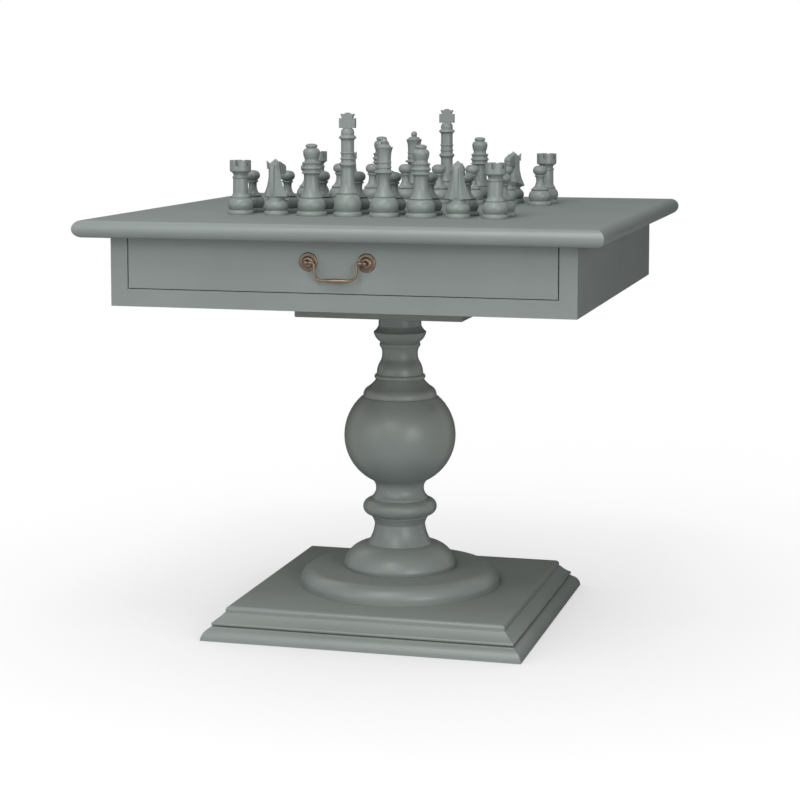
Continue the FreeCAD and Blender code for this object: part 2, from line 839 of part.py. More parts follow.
def make_knight():
    # A faceted horse on a turned foot. It looks along +Y; each ring of the body is drawn as its
    # back, back corner, side, front corner and front, and mirrored to the other side.
    stand_height = knight_height - knight_horse_height
    stand = turned(stretched(foot(21.2, 21.3, 26, 15.5) + [
        (14.7, 27),
        (14.7, 30.8),
        (0, 30.8)], knight_base_radius, stand_height + 1.2))
    size = knight_horse_height / 70
    half_rings = [
        [(0, -12, 0), (8.5, -8.5, 0), (12, 0, 0), (8.5, 8.5, 0), (0, 12, 0)],
        [(0, -13.4, 6.2), (13, -14.5, 4.1), (24, -3, 3.9), (12.5, 10.5, 11), (0, 15, 12.6)],
        [(0, -12.6, 18.5), (8.6, -13.2, 18.5), (17, -3.5, 18.5), (7.4, 8.5, 21.4), (0, 12, 22.4)],
        [(0, -11.8, 33), (6.8, -12.2, 33), (13, -4, 33), (6, 5.5, 33), (0, 7.5, 33)],
        [(0, -11.2, 43), (6.4, -11.6, 43), (11.8, -5, 43), (6.2, 5, 42), (0, 6, 42)],
        [(0, -10.5, 58.4), (6, -11, 58.4), (11, -7, 59.3), (7.4, 3, 62), (0, 5.5, 63)]]
    rings = []
    for half_ring in half_rings:
        half = [Vector(*point) * size for point in half_ring]
        rings.append(half + [Vector(-point.x, point.y, point.z) for point in half[3:0:-1]])
    horse = flat_sided_stack(rings, Vector(0, -1, 70) * size)
    muzzle = [(-2, 44), (9, 41.5), (22, 42), (26.5, 45), (26.5, 49.3), (25, 50.7), (26.5, 52.2),
              (25.5, 55.6), (21, 58.5), (4, 64.8), (-2, 62.4)]
    mane = [(-9, 55), (-8, 8), (-13.6, 4.6), (-14.6, 8), (-14.9, 20), (-14.8, 42), (-13.8, 54), (-12, 59.5)]
    for side_view, width in ((muzzle, knight_muzzle_width), (mane, knight_mane_width)):
        face = outline_face([(y * size, z * size) for y, z in side_view])
        face.rotate(ORIGIN, Z_AXIS, 90)
        face.translate(Vector(width / 2, 0, 0))
        horse = horse.fuse(face.extrude(Vector(-width, 0, 0)))
    for hand in (-1, 1):
        corners = ((6, -11.5, 52.6), (12.4, -9.5, 51.6), (6.5, -4, 58.4), (11.2, -13.4, 67.4))
        back, side, front, tip = [Vector(hand * x, y, z) * size for x, y, z in corners]
        horse = horse.fuse(flat_sided([
            (back, side, front), (back, side, tip), (side, front, tip), (front, back, tip)]))
    horse.translate(Vector(0, 0, stand_height))
    return stand.fuse(horse)


def make_bishop():
    return turned(stretched(foot(26.9, 24.8, 31, 18.5) + [
        (19.6, 33, 0.4),
        (13.2, 56, -1.9),
        (12.9, 71, -0.3),
        (18.8, 75, -0.9),
        (15, 77.5),
        (15, 80.5),
        (15, 86.5, 2.3),
        (15, 90),
        (16.8, 93, 0.4),
        (12.4, 95),
        (12, 99),
        (14.8, 109.5, 0.4),
        (8.8, 118.5, 2.2),
        (8.6, 119.2),
        (8.2, 125, 2.1),
        (2.5, 126.2, 0.3),
        (0, 126.2)], bishop_base_radius, bishop_height))


def make_queen():
    return turned(stretched(foot(26.1, 25.3, 34, 17) + [
        (18.1, 36, 0.4),
        (10.4, 62, -2.2),
        (12, 74, -0.5),
        (17.4, 77, -0.8),
        (16.6, 79.5, 0.4),
        (12, 81.5),
        (12, 84.5),
        (12, 87.5, 1.2),
        (12, 93.5),
        (12, 96.5, 1.0),
        (12.4, 108, -0.2),
        (15.6, 121, -0.6),
        (12.6, 121.5),
        (5, 126.5, 1.2),
        (4.6, 127.2),
        (1.5, 136.7, 2.75),
        (0, 136.7)], queen_base_radius, queen_height))


def make_king():
    body = turned(stretched(foot(25.1, 24.1, 39, 17) + [
        (18.2, 41, 0.4),
        (12.2, 63, -1.7),
        (11.5, 84, -0.3),
        (14.2, 88.5, -0.5),
        (11.6, 94.5, 1.9),
        (11.4, 99),
        (11.4, 102, 1.6),
        (11.4, 109),
        (11.4, 112.2, 1.6),
        (11.4, 132),
        (15.9, 136.5, -0.7),
        (11.6, 141.5, 0.7),
        (11.1, 142.5),
        (11.1, 148.5, 0.6),
        (8, 153, 0.8),
        (0, 153)], king_base_radius, king_height - king_crown_height + king_crown_sink))
    cross = outline_face(raised(stretched([
        (-7, 0), (7, 0), (7.5, 2), (14.6, 2), (14.6, 19), (9.2, 19), (12.5, 26.5), (5, 26.5),
        (-5, 26.5, 2.4), (-12.5, 26.5), (-9.2, 19), (-14.6, 19), (-14.6, 2), (-7.5, 2)],
        king_cross_reach, king_crown_height), king_height - king_crown_height))
    cross.translate(Vector(0, -king_cross_thickness / 2, 0))
    return body.fuse(cross.extrude(Vector(0, king_cross_thickness, 0)))


def placed(man, column, row, turn=0):
    # Columns and rows count from the near left corner of the board.
    piece = man.copy()
    piece.rotate(ORIGIN, Z_AXIS, turn)
    middle = (squares_per_side - 1) / 2
    piece.translate(Vector((column - middle) * square_side, (row - middle) * square_side, table_height))
    return piece


def save_chessmen():
    last = squares_per_side - 1
    columns = {"king": [3], "queen": [4], "bishops": [2, 5], "knights": [1, 6], "rooks": [0, 7],
               "pawns": list(range(squares_per_side))}
    men = {"king": make_king(), "queen": make_queen(), "bishops": make_bishop(),
           "knights": make_knight(), "rooks": make_rook(), "pawns": make_pawn()}
    knight_turns = {"near": near_knight_turns, "far": far_knight_turns}
    for side, back_row, pawn_row, turn in (("near", 0, 1, 0), ("far", last, last - 1, 180)):
        for name, man in men.items():
            row = pawn_row if name == "pawns" else back_row
            side_columns = columns[name]
            if side == "far" and name in ("king", "queen"):
                side_columns = [last - side_columns[0]]
            turns = knight_turns[side] if name == "knights" else [turn] * len(side_columns)
            pieces = [placed(man, column, row, angle) for column, angle in zip(side_columns, turns)]
            save(side + "_" + name, group(pieces))


def save_top():
    field_panel = make_field_panel()
    rails = {}
    for quarter, name in enumerate(("right", "back", "left", "front")):
        rails[name] = make_edge_rail(field_panel, quarter)
    screws = [wood_screw(x, y, kicker_low, top_screw_length) for x, y in top_screw_places()]
    for screw in screws:
        field_panel = field_panel.cut(screw)
    save("top_field_panel", field_panel)
    for name, rail in rails.items():
        save("edge_rail_" + name, rail)
    save("board_squares_light", make_squares(1))
    save("board_squares_dark", make_squares(0))
    save("board_stringing", make_stringing())
    for hand, name in ((-1, "left"), (1, "right")):
        save("drawer_kicker_" + name, bore_for(make_kicker(hand), screws, top_screw_places(), kicker_low))
    save("top_screws", group(screws))


def save_case():
    bottom = make_case_bottom()
    back = make_apron_back().cut(bottom)
    rail = make_bottom_rail()
    for hand, name in ((-1, "left"), (1, "right")):
        side = make_apron_side(hand, back, bottom)
        save("apron_side_" + name, side)
        save("front_stile_" + name, make_stile(hand, side, rail))
        save("drawer_runner_" + name, make_runner(hand))
    save("apron_back", back)
    save("front_bottom_rail", rail)
    save("corner_blocks", make_corner_blocks())
    save("drawer_stops", make_drawer_stops())
    return bottom


def save_drawer():
    panel = make_drawer_panel()
    back = make_drawer_back()
    sides = [make_drawer_side(hand, panel, back) for hand in (-1, 1)]
    save("drawer_front", make_drawer_front(sides, panel, [make_post_hole(x) for x in post_places()]))
    save("drawer_side_left", sides[0])
    save("drawer_side_right", sides[1])
    save("drawer_back", back)
    save("drawer_bottom", panel)
    save("pull_rosettes", group([make_rosette(x) for x in post_places()]))
    save("pull_posts", group([make_post(x) for x in post_places()]))
    save("pull_nuts", group([make_pull_nut(x) for x in post_places()]))
    save("bail_handle", make_bail())


def save_pedestal(case_bottom):
    column = make_column()
    plate = make_plate().cut(column)
    plinth = make_plinth().cut(column)
    upper_board = make_upper_board()
    lower_board = make_lower_board()
    rod_hole = drilled(0, 0, (0, plate_high), rod_radius + rod_hole_clearance)
    low_sink = drilled(0, 0, (0, counterbore_depth), counterbore_radius)
    high_sink = drilled(0, 0, (plate_high - counterbore_depth, plate_high), counterbore_radius)
    plate_head = plate_low + plate_screw_sink
    plate_screws = [wood_screw(x, y, plate_head, plate_screw_length) for x, y in plate_screw_places()]
    base_screws = [wood_screw(x, y, base_screw_sink, base_screw_length) for x, y in base_screw_places()]
    plate = bore_for(plate.cut(rod_hole).cut(high_sink), plate_screws, plate_screw_places(), plate_head)
    case_bottom = bore_for(case_bottom, plate_screws, [], 0)
    base_places = base_screw_places()
    lower_board = lower_board.cut(rod_hole).cut(low_sink)
    lower_board = bore_for(lower_board, base_screws, base_places, base_screw_sink)
    upper_board = bore_for(upper_board.cut(rod_hole), base_screws, [], 0)
    plinth = bore_for(plinth.cut(rod_hole), base_screws, [], 0)
    save("case_bottom", case_bottom)
    save("mounting_plate", plate)
    save("column", column.cut(rod_hole))
    save("round_plinth", plinth)
    save("base_upper_board", upper_board)
    save("base_lower_board", lower_board)
    save("tie_rod", make_tie_rod())
    save("tie_rod_washers", make_rod_washers())
    save("tie_rod_nuts", make_rod_nuts())
    save("plate_screws", group(plate_screws))
    save("base_screws", group(base_screws))


os.makedirs("parts", exist_ok=True)
save_top()
save_pedestal(save_case())
save_drawer()
save_chessmen()
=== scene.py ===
import bpy
import bmesh
import json
import math
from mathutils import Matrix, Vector

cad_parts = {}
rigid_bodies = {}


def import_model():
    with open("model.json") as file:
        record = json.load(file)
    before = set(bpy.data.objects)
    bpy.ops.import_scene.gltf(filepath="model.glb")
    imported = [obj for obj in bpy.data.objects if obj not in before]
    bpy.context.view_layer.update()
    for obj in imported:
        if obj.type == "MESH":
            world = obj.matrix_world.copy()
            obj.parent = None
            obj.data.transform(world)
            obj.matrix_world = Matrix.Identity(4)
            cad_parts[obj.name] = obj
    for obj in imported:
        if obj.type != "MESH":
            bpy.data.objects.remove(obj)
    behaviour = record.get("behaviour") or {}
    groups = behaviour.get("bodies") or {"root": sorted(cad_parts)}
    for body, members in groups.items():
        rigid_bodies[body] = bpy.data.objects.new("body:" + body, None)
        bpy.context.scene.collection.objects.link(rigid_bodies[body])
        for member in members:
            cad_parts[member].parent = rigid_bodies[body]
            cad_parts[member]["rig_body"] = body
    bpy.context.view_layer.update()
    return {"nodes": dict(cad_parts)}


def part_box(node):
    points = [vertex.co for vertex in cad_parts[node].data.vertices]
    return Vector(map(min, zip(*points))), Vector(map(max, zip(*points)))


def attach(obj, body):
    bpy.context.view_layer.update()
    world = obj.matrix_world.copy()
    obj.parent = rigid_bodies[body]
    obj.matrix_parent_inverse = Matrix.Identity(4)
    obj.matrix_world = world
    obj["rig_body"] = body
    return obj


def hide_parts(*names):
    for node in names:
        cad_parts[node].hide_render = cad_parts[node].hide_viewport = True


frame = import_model()
mm = 0.001


# node helpers

def fillNode(tree, node, inputs):
    # each input takes a link from another node, or a value of its own
    for name, value in inputs.items():
        if hasattr(value, "is_output"):
            tree.links.new(value, node.inputs[name])
        else:
            node.inputs[name].default_value = value
    return node


def addNode(tree, kind, inputs=None, **settings):
    node = tree.nodes.new(kind)
    for name, value in settings.items():
        setattr(node, name, value)
    return fillNode(tree, node, inputs or {})


def noiseNode(tree, vector, scale, detail=2.0, roughness=0.5, distortion=0.0):
    return addNode(tree, "ShaderNodeTexNoise", {
        "Vector": vector,
        "Scale": scale,
        "Detail": detail,
        "Roughness": roughness,
        "Distortion": distortion}).outputs["Fac"]


def rampNode(tree, value, fromLow, fromHigh, toLow=0.0, toHigh=1.0):
    return addNode(tree, "ShaderNodeMapRange", {
        "Value": value,
        "From Min": fromLow,
        "From Max": fromHigh,
        "To Min": toLow,
        "To Max": toHigh}).outputs["Result"]


def mathNode(tree, operation, first, second=0.0):
    return addNode(tree, "ShaderNodeMath", {0: first, 1: second}, operation=operation).outputs[0]


def opaque(colour):
    return colour if hasattr(colour, "is_output") else tuple(colour) + (1,)


def mixColour(tree, factor, first, second):
    # a Mix node's colours are its inputs 6 and 7
    return addNode(tree, "ShaderNodeMix", {0: factor, 6: opaque(first), 7: opaque(second)},
                   data_type="RGBA").outputs[2]


def mixShader(tree, factor, first, second):
    return addNode(tree, "ShaderNodeMixShader", {0: factor, 1: first, 2: second}).outputs[0]


# camera and studio

viewpoint = {
    "distance": 3.8591,   # metres from the column, level
    "azimuth": 14.94,     # degrees to the right of the drawer front
    "height": 1.0024,
    "pitch": 5.53,        # degrees down
    "lens": 93.80,
    "shift": -0.15,
}

studio = {
    "floorSide": 400.0,
    "floorColour": (0.50, 0.50, 0.50),
    "floorGlow": 0.32,       # the white of the floor that the camera sees: an even glow, a glow that ambient occlusion darkens near the table as a painted shadow, and lamp light
    "floorPaintedShade": 0.61,
    "floorLamps": 0.20,
    "paintedShadeReach": 3.0,
    "whiteFrom": (0.9, 2.6), # metres from the column where the floor fades to plain white
    "worldLevel": 0.005,
    "lampAim": (0, 0, 0.45),
    "lamps": {               # azimuth to the right of the front, elevation, distance, side, watts
        "topLamp": (10, 65, 5.0, 1.2, 60),
        "noseLamp": (-15, 50, 5.0, 0.8, 37),
        "keyLamp": (-6, 32, 5.0, 2.0, 57),
        "leftLamp": (-40, 10, 5.0, 2.0, 27),
        "rightLamp": (40, 10, 5.0, 2.0, 75),
        "backLamp": (-130, 42, 5.0, 3.0, 28),
    },
}


def linked(name, data):
    piece = bpy.data.objects.new(name, data)
    bpy.context.scene.collection.objects.link(piece)
    return piece


def around(azimuth, elevation, distance, centre):
    a = math.radians(azimuth)
    e = math.radians(elevation)
    way = Vector((math.sin(a) * math.cos(e), -math.cos(a) * math.cos(e), math.sin(e)))
    return centre + way * distance


def makeCamera():
    data = bpy.data.cameras.new("camera")
    data.lens = viewpoint["lens"]
    data.shift_y = viewpoint["shift"]
    data.clip_end = studio["floorSide"] / 2
    camera = linked("camera", data)
    azimuth = viewpoint["azimuth"]
    camera.location = around(azimuth, 0, viewpoint["distance"], Vector((0, 0, viewpoint["height"])))
    camera.rotation_euler = (math.radians(90 - viewpoint["pitch"]), 0, math.radians(azimuth))
    bpy.context.scene.camera = camera


def makeLamps():
    centre = Vector(studio["lampAim"])
    for name, (azimuth, elevation, distance, side, watts) in studio["lamps"].items():
        data = bpy.data.lights.new(name, "AREA")
        data.shape = "SQUARE"
        data.size = side
        data.energy = watts
        lamp = linked(name, data)
        lamp.location = around(azimuth, elevation, distance, centre)
        lamp.rotation_euler = (centre - lamp.location).to_track_quat("-Z", "Y").to_euler()


def backgroundRays(tree):
    # 1 for the rays that look at the background itself or at its reflection
    path = tree.nodes.new("ShaderNodeLightPath").outputs
    mirrored = mathNode(tree, "MAXIMUM", path["Is Glossy Ray"], path["Is Transmission Ray"])
    return mathNode(tree, "MAXIMUM", path["Is Camera Ray"], mirrored)


def makeWorld():
    world = bpy.data.worlds.new("studioAir")
    world.use_nodes = True
    tree = world.node_tree
    tree.nodes.clear()
    lit, seen = [
        addNode(tree, "ShaderNodeBackground", {"Color": (1, 1, 1, 1), "Strength": level}).outputs[0]
        for level in (studio["worldLevel"], 1.0)]
    addNode(tree, "ShaderNodeOutputWorld", {"Surface": mixShader(tree, backgroundRays(tree), lit, seen)})
    bpy.context.scene.world = world


def plainSurface(tree, colour):
    return addNode(tree, "ShaderNodeBsdfDiffuse", {"Color": opaque(colour)}).outputs[0]


def makeFloor():
    half = studio["floorSide"] / 2
    mesh = bpy.data.meshes.new("studioFloor")
    corners = [(-half, -half, 0), (half, -half, 0), (half, half, 0), (-half, half, 0)]
    mesh.from_pydata(corners, [], [(0, 1, 2, 3)])
    material = bpy.data.materials.new("studioFloor")
    material.use_nodes = True
    tree = material.node_tree
    tree.nodes.clear()
    coordinates = tree.nodes.new("ShaderNodeTexCoord").outputs["Object"]
    away = addNode(tree, "ShaderNodeVectorMath", {0: coordinates}, operation="LENGTH").outputs["Value"]
    fade = rampNode(tree, away, *studio["whiteFrom"])
    # painted shadow: ambient occlusion darkens the floor's glow near the table, a soft shadow that no lamp
    # casts
    paintedSkyShade = addNode(tree, "ShaderNodeAmbientOcclusion", {"Distance": studio["paintedShadeReach"]}).outputs["AO"]
    glow = mathNode(tree, "MULTIPLY", paintedSkyShade, studio["floorPaintedShade"])
    glow = mathNode(tree, "ADD", glow, studio["floorGlow"])
    white = addNode(tree, "ShaderNodeEmission", {"Strength": rampNode(tree, fade, 0.0, 1.0, glow)})
    lampLit = plainSurface(tree, (studio["floorLamps"],) * 3)
    lampLit = mixShader(tree, fade, lampLit, plainSurface(tree, (0, 0, 0)))
    seen = addNode(tree, "ShaderNodeAddShader", {0: white.outputs[0], 1: lampLit}).outputs[0]
    lit = plainSurface(tree, studio["floorColour"])
    addNode(tree, "ShaderNodeOutputMaterial", {"Surface": mixShader(tree, backgroundRays(tree), lit, seen)})
    mesh.materials.append(material)
    linked("studioFloor", mesh)


bpy.context.scene.view_settings.view_transform = "Standard"
makeCamera()
makeLamps()
makeWorld()
makeFloor()
print("studio ready")


# shader groups; a noise is given by its scale, detail, roughness and distortion

woodFibre = {
    "figure": (26.0, 4.0, 0.6, 0.6),
    "pores": (420.0, 1.0, 0.5),
    "bands": (7.0, 1.0, 0.4, 1.2),
    "ringsPerBand": 95.0,
}

paintFilm = {
    "drift": (5.0, 3.0, 0.55),
    "sheen": (17.0, 3.0, 0.6),
    "peelDetail": 1.5,
}

rubbedMetal = {
    "unevenness": (160.0, 4.0, 0.6),
    "uneven": 0.08,           # how much of it there is on an edge
    "high": (0.59, 0.62),     # pointiness from which an edge is rubbed, and where it is all bright
    "hollow": (0.46, 0.5),
    "speckle": (900.0, 3.0, 0.7),
}


def shaderGroup(name, inputs, makeMasks):
    # a group with these inputs, whose outputs are the masks that the function makes
    tree = bpy.data.node_groups.new(name, "ShaderNodeTree")
    for socketName, kind, value in [("Vector", "NodeSocketVector", (0, 0, 0))] + inputs:
        socket = tree.interface.new_socket(name=socketName, in_out="INPUT", socket_type=kind)
        socket.default_value = value
    masks = makeMasks(tree, tree.nodes.new("NodeGroupInput").outputs)
    for socketName in masks:
        tree.interface.new_socket(name=socketName, in_out="OUTPUT", socket_type="NodeSocketFloat")
    addNode(tree, "NodeGroupOutput", masks)
    return tree


def fibreMasks(tree, given):
    # long wood fibres: lines and pores that run along the short side of Stretch
    along = addNode(tree, "ShaderNodeVectorMath", {0: given["Vector"], 1: given["Stretch"]},
                    operation="MULTIPLY").outputs[0]
    bands = noiseNode(tree, along, *woodFibre["bands"])
    rings = mathNode(tree, "SINE", mathNode(tree, "MULTIPLY", bands, woodFibre["ringsPerBand"]))
    return {
        "Figure": rampNode(tree, noiseNode(tree, along, *woodFibre["figure"]), 0.3, 0.7),
        "Pores": rampNode(tree, noiseNode(tree, along, *woodFibre["pores"]), 0.56, 0.72),
        "Rings": rampNode(tree, rings, -1.0, 1.0)}


def filmMasks(tree, given):
    # a sprayed and rubbed film: slow drifts of tone and sheen, and a fine peel
    vector = given["Vector"]
    return {
        "Drift": rampNode(tree, noiseNode(tree, vector, *paintFilm["drift"]), 0.3, 0.7),
        "Sheen Mask": rampNode(tree, noiseNode(tree, vector, *paintFilm["sheen"]), 0.3, 0.7),
        "Peel": noiseNode(tree, vector, given["Peel Scale"], paintFilm["peelDetail"])}


def rubMasks(tree, given):
    # high spots that hands rub bright, and hollows that keep their dark skin
    pointiness = tree.nodes.new("ShaderNodeNewGeometry").outputs["Pointiness"]
    uneven = noiseNode(tree, given["Vector"], *rubbedMetal["unevenness"])
    edge = mathNode(tree, "ADD", pointiness, mathNode(tree, "MULTIPLY", uneven, rubbedMetal["uneven"]))
    low, high = rubbedMetal["high"]
    low = mathNode(tree, "SUBTRACT", low, mathNode(tree, "MULTIPLY", given["Reach"], 0.1))
    speckle = noiseNode(tree, given["Vector"], *rubbedMetal["speckle"])
    return {
        "High Spots": rampNode(tree, edge, low, high),
        "Hollows": rampNode(tree, edge, *rubbedMetal["hollow"], 1.0, 0.0),
        "Speckle": rampNode(tree, speckle, 0.35, 0.65)}


fibreGroup = shaderGroup("Wood Fibre", [("Stretch", "NodeSocketVector", (1, 1, 1))], fibreMasks)
filmGroup = shaderGroup("Paint Film", [("Peel Scale", "NodeSocketFloat", 700.0)], filmMasks)
rubGroup = shaderGroup("Rubbed Spots", [("Reach", "NodeSocketFloat", 0.5)], rubMasks)


# finishes

paintFinish = {
    "colour": (0.262, 0.295, 0.280),
    "toneDrift": 0.05,
    "figure": 0.035,        # how much of the wood's figure shows through, and how dark it is
    "figureTone": 0.72,
    "roughness": (0.33, 0.39),
    "grazing": 1.0,         # the roughness at a grazing look, where a rubbed film loses its sheen
    "grazingFrom": (0.45, 0.78),
    "specular": 0.4,
    "peelDepth": 0.00003,
    "grainDepth": 0.00005,
    "fibreStretch": 0.045,
}

woodFinish = {
    "light": (0.62, 0.47, 0.30),
    "dark": (0.45, 0.30, 0.17),
    "ringShare": 0.55,      # the rest of the figure is fibre
    "poreShare": 0.5,
    "poreTone": 0.55,
    "roughness": (0.52, 0.68),
    "specular": 0.3,
    "poreDepth": 0.00012,
    "fibreStretch": 0.05,
}

bronzeFinish = {
    "skin": (0.080, 0.060, 0.047),
    "rubbed": (0.29, 0.215, 0.155),
    "hollow": (0.014, 0.010, 0.008),
    "rubReach": 0.6,
    "fleck": 0.35,
    "roughness": (0.30, 0.46),
    "pitDepth": 0.00002,
}

steelFinish = {
    "colour": (0.56, 0.57, 0.58),
    "stain": (0.36, 0.35, 0.33),
    "stainScale": 240.0,
    "roughness": (0.26, 0.44),
    "stainDepth": 0.00002,
}


def newMaterial(name):
    material = bpy.data.materials.new(name)
    material.use_nodes = True
    tree = material.node_tree
    tree.nodes.clear()
    shader = tree.nodes.new("ShaderNodeBsdfPrincipled")
    addNode(tree, "ShaderNodeOutputMaterial", {"Surface": shader.outputs["BSDF"]})
    coordinates = tree.nodes.new("ShaderNodeTexCoord").outputs["Object"]
    return material, tree, shader, coordinates


def placedGroup(tree, group, inputs):
    return addNode(tree, "ShaderNodeGroup", inputs, node_tree=group).outputs


def fibreAlong(tree, coordinates, axis, stretch):
    # the wood fibre with its long way along this axis
    scale = [stretch if letter == axis else 1.0 for letter in "xyz"]
    return placedGroup(tree, fibreGroup, {"Vector": coordinates, "Stretch": scale})


def bumpNode(tree, height, distance, under=None):
    inputs = {"Strength": 1.0, "Distance": distance, "Height": height}
    if under is not None:
        inputs["Normal"] = under
    return addNode(tree, "ShaderNodeBump", inputs).outputs["Normal"]


def toned(colour, share):
    return [channel * share for channel in colour]


def makePaint(name, axis, tint=1.0):
    material, tree, shader, coordinates = newMaterial(name)
    film = placedGroup(tree, filmGroup, {"Vector": coordinates})
    fibre = fibreAlong(tree, coordinates, axis, paintFinish["fibreStretch"])
    drift = paintFinish["toneDrift"]
    colour = toned(paintFinish["colour"], tint)
    tone = mixColour(tree, film["Drift"], toned(colour, 1 - drift), toned(colour, 1 + drift))
    figure = mathNode(tree, "MULTIPLY", fibre["Figure"], paintFinish["figure"])
    sheen = rampNode(tree, film["Sheen Mask"], 0, 1, *paintFinish["roughness"])
    facing = tree.nodes.new("ShaderNodeLayerWeight").outputs["Facing"]
    peel = bumpNode(tree, film["Peel"], paintFinish["peelDepth"])
    grain = mathNode(tree, "MULTIPLY", fibre["Pores"], -1.0)
    fillNode(tree, shader, {
        "Base Color": mixColour(tree, figure, tone, toned(colour, paintFinish["figureTone"])),
        "Roughness": rampNode(tree, facing, *paintFinish["grazingFrom"], sheen, paintFinish["grazing"]),
        "Specular IOR Level": paintFinish["specular"],
        "Normal": bumpNode(tree, grain, paintFinish["grainDepth"], peel)})
    return material


def makeBareWood(name, axis):
    material, tree, shader, coordinates = newMaterial(name)
    fibre = fibreAlong(tree, coordinates, axis, woodFinish["fibreStretch"])
    rings = woodFinish["ringShare"]
    figure = mathNode(tree, "MULTIPLY", fibre["Rings"], rings)
    figure = mathNode(tree, "ADD", figure, mathNode(tree, "MULTIPLY", fibre["Figure"], 1 - rings))
    tone = mixColour(tree, figure, woodFinish["light"], woodFinish["dark"])
    pore = mathNode(tree, "MULTIPLY", fibre["Pores"], woodFinish["poreShare"])
    grain = mathNode(tree, "MULTIPLY", fibre["Pores"], -1.0)
    fillNode(tree, shader, {
        "Base Color": mixColour(tree, pore, tone, toned(woodFinish["dark"], woodFinish["poreTone"])),
        "Roughness": rampNode(tree, fibre["Figure"], 0, 1, *woodFinish["roughness"]),
        "Specular IOR Level": woodFinish["specular"],
        "Normal": bumpNode(tree, grain, woodFinish["poreDepth"])})
    return material


def makeBronze(name):
    material, tree, shader, coordinates = newMaterial(name)
    rub = placedGroup(tree, rubGroup, {"Vector": coordinates, "Reach": bronzeFinish["rubReach"]})
    low, high = bronzeFinish["roughness"]
    tone = mixColour(tree, rub["Hollows"], bronzeFinish["skin"], bronzeFinish["hollow"])
    tone = mixColour(tree, rub["High Spots"], tone, bronzeFinish["rubbed"])
    fleck = mathNode(tree, "MULTIPLY", rub["Speckle"], bronzeFinish["fleck"])
    fillNode(tree, shader, {
        "Base Color": mixColour(tree, fleck, tone, bronzeFinish["rubbed"]),
        "Roughness": rampNode(tree, rub["Speckle"], 0, 1, high, low),
        "Metallic": 1.0,
        "Normal": bumpNode(tree, rub["Speckle"], bronzeFinish["pitDepth"])})
    return material


def makeSteel(name):
    material, tree, shader, coordinates = newMaterial(name)
    rub = placedGroup(tree, rubGroup, {"Vector": coordinates})
    film = placedGroup(tree, filmGroup, {"Vector": coordinates, "Peel Scale": steelFinish["stainScale"]})
    fillNode(tree, shader, {
        "Base Color": mixColour(tree, film["Peel"], steelFinish["stain"], steelFinish["colour"]),
        "Roughness": rampNode(tree, rub["Speckle"], 0, 1, *steelFinish["roughness"]),
        "Metallic": 1.0,
        "Normal": bumpNode(tree, film["Peel"], steelFinish["stainDepth"])})
    return material


paintAlong = {axis: makePaint("satinPaint" + axis.upper(), axis) for axis in "xyz"}
woodAlong = {axis: makeBareWood("bareWood" + axis.upper(), axis) for axis in "xyz"}
lightSquarePaint = makePaint("lightSquarePaint", "y", 1.012)
darkSquarePaint = makePaint("darkSquarePaint", "x", 0.975)
bronze = makeBronze("agedBronze")
steel = makeSteel("zincSteel")
print("finishes ready")


# making pieces

outlineRules = {
    "arcStep": 0.11,      # the most that an arc turns from one point to the next
    "sharpTurn": 0.38,    # the least turn at a corner that is eased
    "easeShare": 0.35,    # the most of a side that the easing of its corner takes
}


def plainMesh(piece):
    # the evaluated shape as a mesh of its own, with no modifiers left
    graph = bpy.context.evaluated_depsgraph_get()
    mesh = bpy.data.meshes.new_from_object(piece.evaluated_get(graph))
    name = piece.name
    bpy.data.objects.remove(piece)
    mesh.name = name
    return linked(name, mesh)


def meshPiece(name, work, material=None):
    # the bmesh as a piece, and its end
    mesh = bpy.data.meshes.new(name)
    work.to_mesh(mesh)
    work.free()
    if material is not None:
        mesh.materials.append(material)
    return linked(name, mesh)


def softened(piece, arris, parts=2):
    # small rounded arrises, and normals that keep the flats flat
    for polygon in piece.data.polygons:
        polygon.use_smooth = True
    if arris > 0:
        bevel = piece.modifiers.new("arris", "BEVEL")
        bevel.width = arris * mm
        bevel.segments = parts
        bevel.limit_method = "ANGLE"
        bevel.angle_limit = math.radians(28)
        bevel.use_clamp_overlap = True
    normals = piece.modifiers.new("normals", "WEIGHTED_NORMAL")
    normals.keep_sharp = True
    return plainMesh(piece)


def joined(name, pieces):
    work = bmesh.new()
    for piece in pieces:
        work.from_mesh(piece.data)
    whole = meshPiece(name, work, pieces[0].data.materials[0])
    for piece in pieces:
        bpy.data.objects.remove(piece)
    return softened(whole, 0)


def cutAway(piece, work, name, crossing=False):
    # the piece less the solids in the bmesh; crossing where those solids cross each other
    cutter = meshPiece(name, work)
    cut = piece.modifiers.new(name, "BOOLEAN")
    cut.operation = "DIFFERENCE"
    cut.solver = "EXACT"
    cut.use_self = crossing
    cut.object = cutter
    piece = plainMesh(piece)
    bpy.data.objects.remove(cutter)
    return piece


def onBody(piece, body, node):
    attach(piece, body)
    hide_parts(node)


def mergedCopy(node, name):
    # a CAD node's loose triangles, merged, with its flat faces whole again
    source = frame["nodes"][node].data
    mesh = bpy.data.meshes.new(name)
    mesh.from_pydata([v.co[:] for v in source.vertices], [], [tuple(p.vertices) for p in source.polygons])
    work = bmesh.new()
    work.from_mesh(mesh)
    bmesh.ops.remove_doubles(work, verts=work.verts, dist=0.003 * mm)
    bmesh.ops.dissolve_degenerate(work, edges=work.edges, dist=0.001 * mm)
    bmesh.ops.dissolve_limit(work, angle_limit=math.radians(0.4), verts=work.verts, edges=work.edges)
    work.to_mesh(mesh)
    work.free()
    return linked(name, mesh)


def dressed(node, material, arris):
    piece = mergedCopy(node, node + "_finished")
    piece.data.materials.append(material)
    onBody(softened(piece, arris), frame["nodes"][node]["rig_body"], node)


